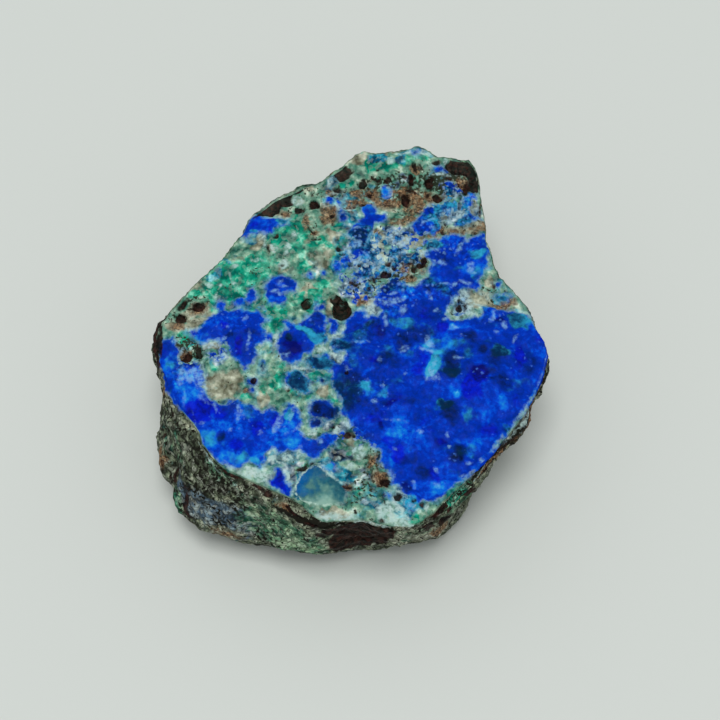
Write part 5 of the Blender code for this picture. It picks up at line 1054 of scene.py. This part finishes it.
class Shader:
    """A short way to lay out a node tree: a call adds a node, fills its inputs and gives its output."""

    def __init__(self, tree):
        self.tree = tree
        self.count = 0

    def put(self, socket, value):
        """Links a value that is an output, or sets one that is plain."""
        if isinstance(value, bpy.types.NodeSocket):
            self.tree.links.new(value, socket)
        elif value is not None:
            socket.default_value = value

    def node(self, kind, inputs=(), **settings):
        """A new node at the next place of the layout, with its settings and then its inputs."""
        made = self.tree.nodes.new(kind)
        made.location = (200 * (self.count % 12), -260 * (self.count // 12))
        self.count += 1
        for key, value in settings.items():
            setattr(made, key, value)
        for key, value in inputs.items() if isinstance(inputs, dict) else enumerate(inputs):
            self.put(made.inputs[key], value)
        return made

    def add(self, kind, inputs=(), out=0, **settings):
        """A new node, for one of its outputs."""
        return self.node(kind, inputs, **settings).outputs[out]

    def group(self, tree, inputs):
        """A group placed in this tree, with its inputs set by name; gives its outputs."""
        return self.node("ShaderNodeGroup", inputs, node_tree=tree).outputs

    def attribute(self, name):
        """One of the mesh's own arrays."""
        return self.add("ShaderNodeAttribute", out="Fac", attribute_name=name)

    def math(self, operation, a, b=None, c=None):
        """One sum on up to three numbers; the methods after it are short names for the common ones."""
        return self.add("ShaderNodeMath", (a, b, c), operation=operation)

    def plus(self, a, b):
        return self.math("ADD", a, b)

    def minus(self, a, b):
        return self.math("SUBTRACT", a, b)

    def times(self, a, b):
        return self.math("MULTIPLY", a, b)

    def times_plus(self, a, factor, more):
        return self.math("MULTIPLY_ADD", a, factor, more)

    def swing(self, value, amount):
        """A value around 0.5 as one around 0, times an amount."""
        return self.times(self.minus(value, 0.5), amount)

    def vector(self, operation, a, b):
        return self.add("ShaderNodeVectorMath", (a, b), operation=operation)

    def scale(self, vector, factor):
        return self.add("ShaderNodeVectorMath", {"Vector": vector, "Scale": factor}, operation="SCALE")

    def ramp(self, value, low, high, to_low=0.0, to_high=1.0):
        """Smoothstep of a value from low to high, onto the range from to_low to to_high."""
        inputs = {"Value": value, "From Min": low, "From Max": high, "To Min": to_low, "To Max": to_high}
        return self.add("ShaderNodeMapRange", inputs, interpolation_type="SMOOTHSTEP")

    def between(self, share, none, full):
        """One number where a share is 0, another where it is 1, and smoothstep in between."""
        return self.ramp(share, 0.0, 1.0, none, full)

    def mix(self, factor, a, b, blend="MIX"):
        """One colour over another."""
        return self.add("ShaderNodeMix", {0: factor, 6: a, 7: b}, out=2, data_type="RGBA", blend_type=blend)

    def shade(self, colour, factor):
        """A colour times a number."""
        grey = self.add("ShaderNodeCombineColor", (factor, factor, factor))
        return self.mix(1.0, colour, grey, "MULTIPLY")

    def colour_ramp(self, value, stops):
        """The colour at a value along a row of stops, each a place and a colour as it is seen."""
        made = self.node("ShaderNodeValToRGB", (value,))
        elements = made.color_ramp.elements
        while len(elements) < len(stops):
            elements.new(0.5)
        for element, (place, *colour) in zip(elements, stops):
            element.position, element.color = place, srgb(*colour)
        return made.outputs[0]

    def noise(self, vector, size, detail=2.0, roughness=0.5, offset=0.0):
        """Noise around 0.5 with features of a size in millimetres."""
        if offset:
            vector = self.vector("ADD", vector, (offset, -offset, 0.6 * offset))
        inputs = {"Vector": vector, "Scale": 1.0 / size, "Detail": detail, "Roughness": roughness}
        return self.add("ShaderNodeTexNoise", inputs)

    def cells(self, vector, size, out=0):
        """Round cells of a size in millimetres: the distance from a middle (0) or a random colour (1)."""
        return self.add("ShaderNodeTexVoronoi", {"Vector": vector, "Scale": 1.0 / size}, out=out)

    def cell_number(self, vector, size, channel=0):
        """A random number from 0 to 1 for each cell: one channel of its colour."""
        return self.add("ShaderNodeSeparateColor", (self.cells(vector, size, 1),), out=channel)

    def bend(self, vector, scale, amount):
        """A place pushed a little each way by coloured noise, so that round cells turn irregular."""
        push = self.add("ShaderNodeTexNoise", {"Vector": vector, "Scale": scale, "Detail": 1.0}, out=1)
        return self.vector("ADD", self.scale(push, amount), vector)

    def give(self, outputs):
        """Makes a group's named outputs and links their values; gives the group."""
        for label in outputs:
            kind = COLOUR if label == "Color" else FLOAT
            self.tree.interface.new_socket(name=label, in_out="OUTPUT", socket_type=kind)
        leave = self.tree.nodes.new("NodeGroupOutput")
        leave.location = (2600, 0)
        for label, value in outputs.items():
            self.put(leave.inputs[label], value)
        return self.tree


def new_group(name, inputs):
    """A shader group's Shader and its named inputs, each given as a start value or as a kind."""
    tree = bpy.data.node_groups.new(name, "ShaderNodeTree")
    for label, start in inputs.items():
        kind = start if isinstance(start, str) else FLOAT
        socket = tree.interface.new_socket(name=label, in_out="INPUT", socket_type=kind)
        if kind is FLOAT:
            socket.default_value = start
    entry = tree.nodes.new("NodeGroupInput")
    entry.location = (-300, 0)
    return Shader(tree), entry.outputs


def ragged_patch_group():
    """A patch with a ragged edge: its depth plus fine noise, eased over a soft width round zero.

    In a mixed zone whole small crystals flip in or out. The rim is a broken line along the patch's edge,
    the edge is 1 there and fades to 0 half a millimetre in, and the halo fades to 0 a little outside it.
    """
    shader, given = new_group("ragged_patch", {
        "Vector": VECTOR, "Depth": 0.0, "Wander": 0.3, "Grain": 0.6, "Softness": 0.1, "Mixed": 0.0,
        "Rim Width": 0.2})
    place, softness = given["Vector"], given["Softness"]
    scaled = shader.vector("DIVIDE", place, given["Grain"])
    rough = shader.noise(scaled, 1.0)
    wander = shader.swing(rough, shader.times(given["Wander"], 4.0))
    crystal = shader.cell_number(shader.bend(place, 2.6, 0.3), 0.5)
    flip = shader.swing(crystal, shader.times(given["Mixed"], 1.3))
    edge = shader.plus(shader.plus(given["Depth"], wander), flip)
    near = shader.minus(1.0, shader.math("DIVIDE", shader.math("ABSOLUTE", edge), given["Rim Width"]))
    broken = shader.ramp(shader.noise(place, 0.6, 2.0, 0.6, 41.0), 0.4, 0.6)
    wide = shader.noise(place, 1.3, 2.0, 0.5, 43.0)
    return shader.give({
        "Mask": shader.ramp(edge, shader.times(softness, -1.0), softness),
        "Rim": shader.times(shader.ramp(near, 0.0, 0.7), broken),
        "Edge": shader.ramp(edge, 0.55, 0.0),
        "Halo": shader.ramp(shader.times_plus(wide, 2.0, edge), 0.2, 1.2)})


def linarite_group():
    """Linarite's blue by its tint: each crystal differs a little from the next, over broad clouds.

    Its cast turns it towards indigo or towards teal, its flecks are stronger where it is broken up, and it
    thins to teal and azure at its edge.
    """
    shader, given = new_group("linarite_blue", {
        "Vector": VECTOR, "Tint": 0.0, "Cast": 0.0, "Edge": 0.0, "Flecks": 0.0})
    place, tint = given["Vector"], given["Tint"]
    crystal = shader.cell_number(shader.bend(place, 2.0, 0.3), 0.5, 1)
    fine = shader.noise(shader.bend(place, 1.1, 0.4), 0.55, 2.0, 0.55, 7.0)
    cloud = shader.noise(place, 2.4, 3.0, 0.55)
    for value, amount in ((crystal, 0.2), (cloud, 1.5), (fine, shader.between(given["Flecks"], 1.3, 3.0))):
        tint = shader.plus(tint, shader.swing(value, amount))
    thin = shader.times(given["Edge"], shader.ramp(shader.noise(place, 0.8, 2.0, 0.6, 53.0), 0.36, 0.6))
    tint = shader.plus(tint, shader.times(thin, 0.5))
    colour = shader.colour_ramp(shader.times_plus(tint, 0.36, 0.485), BLUES)
    cast = shader.times_plus(shader.noise(place, 1.9, 2.0, 0.6, 61.0), 1.9, -1.02)
    cast = shader.plus(cast, given["Cast"])
    indigo = shader.mix(shader.ramp(tint, -0.8, 0.5), srgb(4, 8, 100), srgb(2, 22, 202))
    teal = shader.mix(shader.ramp(tint, -0.7, 0.9), srgb(2, 40, 66), srgb(48, 168, 196))
    colour = shader.mix(shader.ramp(cast, 0.25, 0.95, 0.0, 0.85), colour, indigo)
    colour = shader.mix(shader.ramp(cast, -0.25, -0.95, 0.0, 0.85), colour, teal)
    colour = shader.mix(shader.times(thin, 0.35), colour, srgb(20, 108, 160))
    return shader.give({"Color": colour, "Height": shader.plus(crystal, shader.times(fine, 1.5))})


def painted_glint_dots_group():
    """Painted glints of scattered small crystals: round cells bent irregular, of which the share's number
    show a soft dot.
    """
    shader, given = new_group("painted_glint_dots", {"Vector": VECTOR, "Size": 0.8, "Share": 0.2})
    scaled = shader.vector("DIVIDE", shader.bend(given["Vector"], 1.6, 0.5), given["Size"])
    number = shader.cell_number(scaled, 1.0)
    dot = shader.ramp(shader.cells(scaled, 1.0), shader.times_plus(number, 0.5, 0.3), 0.05)
    return shader.give({"Mask": shader.times(dot, shader.math("LESS_THAN", number, given["Share"]))})


def rock_group():
    """Granular rock: paler or darker grains, painted shade in the gaps between them, scattered dark grains.
    """
    shader, given = new_group("granular_rock", {
        "Vector": VECTOR, "Ground": COLOUR, "Pale Grain": COLOUR, "Dark Grain And Gap Shade": COLOUR, "Dark Share": 0.2,
        "Gap Shade": 0.2, "Size": 0.5})
    scaled = shader.vector("DIVIDE", shader.bend(given["Vector"], 1.5, 0.35), given["Size"])
    number = shader.cell_number(scaled, 1.0)
    away = shader.cells(scaled, 1.0)
    fine = shader.noise(scaled, 0.9, 2.0, 0.55, 3.0)
    broad = shader.noise(scaled, 5.0, 2.0, 0.5, 11.0)
    colour = shader.mix(shader.ramp(number, 0.4, 1.0, 0.0, 0.8), given["Ground"], given["Pale Grain"])
    colour = shader.shade(colour, shader.ramp(fine, 0.3, 0.72, 0.76, 1.22))
    uneven = shader.plus(away, shader.swing(fine, 0.9))
    worm = shader.math("ABSOLUTE", shader.minus(shader.noise(scaled, 1.7, 2.0, 0.55, 5.0), 0.5))
    worm = shader.ramp(worm, 0.045, 0.012)
    # painted shade in the gaps and cracks between grains, in the dark grains' colour
    painted_gap_shade = shader.math("MAXIMUM", shader.ramp(uneven, 0.45, 0.75, 0.0, 0.75), worm)
    colour = shader.mix(shader.times(painted_gap_shade, given["Gap Shade"]), colour, given["Dark Grain And Gap Shade"])
    limit = shader.minus(0.68, shader.times(given["Dark Share"], 0.7))
    speck = shader.plus(shader.noise(scaled, 0.9, 2.0, 0.6, 23.0), shader.swing(broad, 0.3))
    dark = shader.ramp(speck, limit, shader.plus(limit, 0.08))
    height = shader.minus(fine, shader.times(away, 0.9))
    return shader.give({
        "Color": shader.mix(dark, colour, given["Dark Grain And Gap Shade"]),
        "Height": shader.minus(height, shader.times(dark, 0.4))})


# Colours as they are seen, from dark to pale: a place along the tone, then red, green and blue.
BLUES = [
    (0.0, 2, 18, 56), (0.14, 2, 30, 98), (0.32, 0, 40, 140), (0.5, 0, 48, 174), (0.62, 0, 70, 204),
    (0.74, 6, 104, 214), (0.87, 34, 146, 218), (1.0, 126, 198, 230),
]
FACE_ROCK = [
    (0.0, 30, 82, 72), (0.3, 74, 128, 108), (0.55, 104, 148, 128), (0.8, 140, 178, 152),
    (1.0, 192, 212, 190),
]
WALL_ROCK = [(0.0, 36, 40, 31), (0.3, 77, 86, 69), (0.6, 116, 127, 104), (1.0, 172, 177, 151)]
CREAM_ROCK = [(0.0, 92, 92, 74), (0.3, 122, 126, 106), (0.6, 148, 152, 130), (1.0, 188, 192, 170)]
GREEN_ROCK = [
    (0.0, 0, 92, 80), (0.35, 0, 124, 100), (0.6, 16, 148, 118), (0.85, 64, 176, 144), (1.0, 120, 206, 176),
]
WALL_GREEN = [(0.0, 22, 66, 50), (0.35, 66, 116, 90), (0.65, 112, 156, 122), (1.0, 168, 200, 160)]
TEAL_ROCK = [(0.0, 0, 62, 88), (0.35, 6, 100, 126), (0.65, 38, 142, 160), (1.0, 130, 204, 210)]
MIXED_ROCK = [
    (0.0, 14, 24, 42), (0.3, 44, 66, 90), (0.55, 90, 112, 128), (0.8, 142, 164, 174), (1.0, 206, 216, 218),
]
SLATE_ROCK = [(0.0, 40, 52, 62), (0.4, 78, 98, 114), (0.7, 108, 130, 142), (1.0, 150, 168, 172)]
GLASSY_TEAL = [(0.3, 50, 104, 112), (0.55, 84, 128, 122), (0.9, 134, 172, 158)]

# The glassy lens: its middle on the face, and the half width and depth over which it clears.
LENS_MIDDLE_X, LENS_MIDDLE_Y = -4.6, -21.4
LENS_HALF_WIDTH, LENS_HALF_DEPTH = 3.0, 5.0

BUMP_STRENGTH, BUMP_DEPTH = 0.7, 0.2  # of the finest relief, its depth in millimetres


def new_material(name):
    """An empty material, and its surface."""
    material = bpy.data.materials.new(name)
    material.use_nodes = True
    return material, material.node_tree.nodes["Principled BSDF"]


def lens_colour(shader, place):
    """The glassy lens, deep teal at its top and milky below; and how far right of its middle a place is."""
    x, y = (shader.add("ShaderNodeSeparateXYZ", (place,), out=k) for k in (0, 1))
    right = shader.times_plus(x, 1.0 / LENS_HALF_WIDTH, -(LENS_MIDDLE_X + AXIS_X) / LENS_HALF_WIDTH)
    down = shader.times_plus(y, -1.0 / LENS_HALF_DEPTH, (LENS_MIDDLE_Y + AXIS_Y) / LENS_HALF_DEPTH)
    bowed = shader.math("POWER", shader.math("ABSOLUTE", right), 2.0)
    milky = shader.minus(down, shader.times(bowed, 0.5))
    for size, amount in ((1.5, 1.1), (0.5, 0.5)):
        cloud = shader.minus(shader.noise(place, size, 2.0, 0.5, 67.0), 0.5)
        milky = shader.times_plus(cloud, amount, milky)
    milky = shader.plus(milky, 0.47)
    deep = shader.mix(shader.ramp(right, -0.9, 0.5), srgb(8, 84, 150), srgb(12, 74, 92))
    return shader.mix(shader.ramp(milky, 0.0, 0.5), deep, shader.colour_ramp(milky, GLASSY_TEAL)), right


def stone_material(groups):
    """The whole stone's skin. Rock lies lowest, then stains, then blue, pale crust and galena over it."""
    material, surface = new_material("mineral_crust")
    shader = Shader(material.node_tree)
    place = shader.scale(shader.add("ShaderNodeTexCoord", out="Object"), 1000.0)
    wall, mixed, frost_and_glints = shader.attribute("wall"), shader.attribute("mixed"), shader.attribute("frost_and_glints")

    def patch(name, wander, grain, softness, rim_width=0.2, flip=0.0):
        """A mineral's ragged patches, by the name of its depth on the mesh."""
        return shader.group(groups["patch"], {
            "Vector": place, "Depth": shader.attribute(name), "Wander": wander, "Grain": grain,
            "Softness": softness, "Mixed": flip, "Rim Width": rim_width})

    def rock(ground, pale, dark, share, gap_shade, size):
        """Granular rock in three colours, the darkest also painted as shade in its gaps."""
        return shader.group(groups["rock"], {
            "Vector": place, "Ground": ground, "Pale Grain": pale, "Dark Grain And Gap Shade": dark, "Dark Share": share,
            "Gap Shade": gap_shade, "Size": size})

    # the rock and its slate, cream, green and teal stains, each from dark to pale along one tone
    tone = shader.noise(shader.bend(place, 0.9, 0.4), 1.2, 2.5, 0.5, 13.0)
    tone = shader.plus(shader.times_plus(tone, 2.9, -0.97), shader.attribute("shade"))

    def toned(face_stops, wall_stops, share=wall):
        """The colour for the tone: one row of colours on the face, another on the wall."""
        return shader.mix(share, shader.colour_ramp(tone, face_stops), shader.colour_ramp(tone, wall_stops))

    dull = shader.times(wall, shader.ramp(shader.attribute("green_tint"), 1.0, 1.6, 1.0, 0.0))
    stains = {
        "slate_tint": toned(MIXED_ROCK, SLATE_ROCK),
        "cream_tint": shader.colour_ramp(tone, CREAM_ROCK),
        "green_tint": toned(GREEN_ROCK, WALL_GREEN, dull),
        "teal_tint": shader.colour_ramp(tone, TEAL_ROCK),
    }
    ground = toned(FACE_ROCK, WALL_ROCK)
    spread = shader.noise(place, 1.1, 3.0, 0.6, 17.0)
    for name, stain in stains.items():
        share = shader.times_plus(shader.minus(spread, 0.5), 1.5, shader.attribute(name))
        ground = shader.mix(shader.ramp(share, 0.15, 0.65), ground, stain)

    # blue seeps into the rock beside it, and the glassy lens covers the rock
    blue_patch = patch("linarite", 0.26, 0.8, 0.26, 0.26, shader.between(mixed, 0.0, 0.65))
    blue_mask = blue_patch["Mask"]
    halo = shader.times(blue_patch["Halo"], shader.between(wall, 0.7, 0.2))
    halo = shader.times(halo, shader.between(mixed, 1.0, 0.35))
    ground = shader.mix(halo, ground, shader.mix(tone, srgb(8, 74, 118), srgb(106, 178, 196)))
    glaze = patch("glaze", 0.16, 0.9, 0.24, 0.2)
    glassy, right = lens_colour(shader, place)
    pale_grain = shader.mix(shader.between(wall, 0.2, 0.4), ground, srgb(216, 222, 204))
    # the dark grains' colour, which also paints the shade in the gaps between grains
    dark_grain_and_gap_shade = shader.mix(wall, srgb(44, 54, 42), srgb(28, 28, 22))
    dark_share = shader.plus(shader.between(wall, 0.02, 0.16), shader.attribute("speckle"))
    gap_shade, grain_size = shader.between(wall, 0.06, 0.8), shader.between(wall, 0.5, 0.6)
    rocky = rock(ground, pale_grain, dark_grain_and_gap_shade, dark_share, gap_shade, grain_size)
    colour = shader.mix(shader.times(glaze["Mask"], 0.9), rocky["Color"], glassy)

    # rust, its darkest colour also painted as shade in the gaps between its grains
    rust = rock(srgb(136, 104, 74), srgb(182, 150, 112), srgb(58, 30, 20), 0.24, 0.8, 0.36)["Color"]
    colour = shader.mix(shader.times(patch("limonite", 0.34, 0.7, 0.3)["Mask"], 0.85), colour, rust)

    crystals = shader.group(groups["linarite"], {
        "Vector": place, "Tint": shader.times_plus(mixed, -0.2, shader.attribute("blue_tint")),
        "Cast": shader.times_plus(mixed, -0.3, shader.attribute("blue_cast")),
        "Edge": blue_patch["Edge"], "Flecks": shader.math("MAXIMUM", frost_and_glints, mixed)})
    colour = shader.mix(blue_mask, colour, crystals["Color"])

    # white along the blue's edge, painted glints of small crystals in it, and pale crust over both
    white = shader.mix(shader.noise(place, 0.7, 2.0, 0.5, 29.0), srgb(134, 184, 176), srgb(204, 218, 216))
    white = shader.mix(shader.between(mixed, 0.0, 0.7), white, srgb(160, 192, 208))
    colour = shader.mix(shader.times(blue_patch["Rim"], shader.between(mixed, 0.2, 0.42)), colour, white)
    # painted glints: small bright blue to pale lavender dots over the blue, standing in for crystals
    # catching the light
    glint_dots = shader.group(groups["glint_dots"], {
        "Vector": place, "Size": 0.6, "Share": shader.between(frost_and_glints, 0.13, 0.6)})
    painted_glint = shader.mix(frost_and_glints, srgb(50, 104, 228), srgb(116, 168, 232))
    colour = shader.mix(shader.times(shader.times(glint_dots["Mask"], blue_mask), 0.5), colour, painted_glint)
    # pale crust, with the painted highlights along the rim, laid over both
    uneven = shader.ramp(shader.noise(place, 0.5, 2.0, 0.6, 47.0), 0.34, 0.62, 0.2, 0.9)
    uneven = shader.times(uneven, shader.between(blue_mask, 1.0, 0.75))
    white = shader.mix(shader.times(blue_mask, 0.75), white, srgb(110, 170, 226))
    colour = shader.mix(shader.times(patch("pale", 0.16, 0.5, 0.2)["Mask"], uneven), colour, white)
    lens_rim = shader.times(glaze["Rim"], shader.ramp(right, -0.2, 0.9, 0.7, 0.15))
    colour = shader.mix(lens_rim, colour, srgb(186, 214, 200))

    # galena, with paler streaks partly of its own reddish brown and partly painted sheen, and the dark
    # floors of the vugs
    in_vug = shader.ramp(shader.attribute("vug"), 0.3, 0.75)
    dark_mask = shader.math("MAXIMUM", patch("galena", 0.14, 0.5, 0.14)["Mask"], in_vug)
    reddish_streaks_and_sheen = shader.ramp(shader.noise(place, 0.6, 3.0, 0.6, 37.0), 0.4, 0.75)
    lead = shader.mix(reddish_streaks_and_sheen, srgb(16, 8, 8), srgb(66, 38, 32))
    shader.put(surface.inputs["Base Color"], shader.mix(shader.times(dark_mask, 0.95), colour, lead))

    rough = shader.minus(0.6, shader.times(blue_mask, 0.15))
    shader.put(surface.inputs["Roughness"], shader.minus(rough, shader.times(dark_mask, 0.15)))
    shader.put(surface.inputs["Specular IOR Level"], SHINE)

    rock_height = shader.times(rocky["Height"], shader.between(wall, 0.3, 1.2))
    crystal_height = shader.times(crystals["Height"], 0.4)
    height = shader.add("ShaderNodeMix", (blue_mask, None, rock_height, crystal_height))
    relief = {"Strength": BUMP_STRENGTH, "Distance": BUMP_DEPTH * MM, "Height": height}
    shader.put(surface.inputs["Normal"], shader.add("ShaderNodeBump", relief))
    return material


# ------------------------------------------------------------
# Room: floor, light and camera.
# ------------------------------------------------------------

FLOOR_HALF = 1500.0
FLOOR_COLOUR = srgb(206, 210, 205)
FLOOR_ROUGHNESS, FLOOR_SHINE = 0.9, 0.1
SOFTBOX_PLACE, SOFTBOX_SIZE = (-30.0, -150.0, 1150.0), 460.0
SOFTBOX_POWER, SOFTBOX_COLOUR = 6.9, (1.0, 1.0, 0.99)
ROOM_COLOUR, ROOM_BRIGHTNESS = (0.95, 0.98, 1.0, 1.0), 0.58
CAMERA_LENS, SENSOR_WIDTH = 90.0, 36.0
CAMERA_DISTANCE = 230.0
CAMERA_HEIGHT_ANGLE = 62.0  # degrees above the floor
CAMERA_NEAR, CAMERA_FAR = 0.01, 10.0  # metres
LOOK_AT = (AXIS_X, AXIS_Y, 9.0)


def add_floor():
    """A level square under the stone, in one even colour."""
    material, surface = new_material("pale_floor")
    surface.inputs["Base Color"].default_value = FLOOR_COLOUR
    surface.inputs["Roughness"].default_value = FLOOR_ROUGHNESS
    surface.inputs["Specular IOR Level"].default_value = FLOOR_SHINE
    corners = np.array([[-1, -1, 0], [1, -1, 0], [1, 1, 0], [-1, 1, 0]]) * FLOOR_HALF
    add_object("floor", corners, [(0, 1, 2, 3)], material, {})


def add_softbox():
    """A soft square light above, a little in front, aimed at the stone."""
    lamp = bpy.data.lights.new("softbox_above", "AREA")
    lamp.shape, lamp.size = "SQUARE", SOFTBOX_SIZE * MM
    lamp.energy, lamp.color = SOFTBOX_POWER, SOFTBOX_COLOUR
    made = bpy.data.objects.new("softbox_above", lamp)
    made.location = [value * MM for value in SOFTBOX_PLACE]
    towards = np.array(LOOK_AT) - np.array(SOFTBOX_PLACE)
    tilt = math.atan2(math.hypot(towards[0], towards[1]), -towards[2])
    made.rotation_euler = (tilt, 0.0, math.atan2(towards[0], -towards[1]) + math.pi)
    bpy.context.scene.collection.objects.link(made)


def add_room():
    """Even light from all around."""
    world = bpy.data.worlds.new("even_room")
    world.use_nodes = True
    sky = world.node_tree.nodes["Background"]
    sky.inputs["Color"].default_value = ROOM_COLOUR
    sky.inputs["Strength"].default_value = ROOM_BRIGHTNESS
    bpy.context.scene.world = world


def add_camera():
    """The camera looks along +Y and down, at the middle of the stone."""
    lens = bpy.data.cameras.new("camera")
    lens.lens, lens.sensor_width = CAMERA_LENS, SENSOR_WIDTH
    lens.clip_start, lens.clip_end = CAMERA_NEAR, CAMERA_FAR
    camera = bpy.data.objects.new("camera", lens)
    height_angle = math.radians(CAMERA_HEIGHT_ANGLE)
    back = np.array([0.0, -math.cos(height_angle), math.sin(height_angle)])
    camera.location = (np.array(LOOK_AT) + CAMERA_DISTANCE * back) * MM
    camera.rotation_euler = (math.pi / 2.0 - height_angle, 0.0, 0.0)
    bpy.context.scene.collection.objects.link(camera)
    bpy.context.scene.camera = camera


def main():
    """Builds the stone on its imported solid, then the room."""
    stone = build_stone(stone_material({
        "patch": ragged_patch_group(),
        "glint_dots": painted_glint_dots_group(),
        "linarite": linarite_group(),
        "rock": rock_group(),
    }))
    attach(stone, "root")
    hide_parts(STONE)
    add_floor()
    add_softbox()
    add_room()
    add_camera()
    bpy.context.scene.view_settings.view_transform = "Standard"


main()
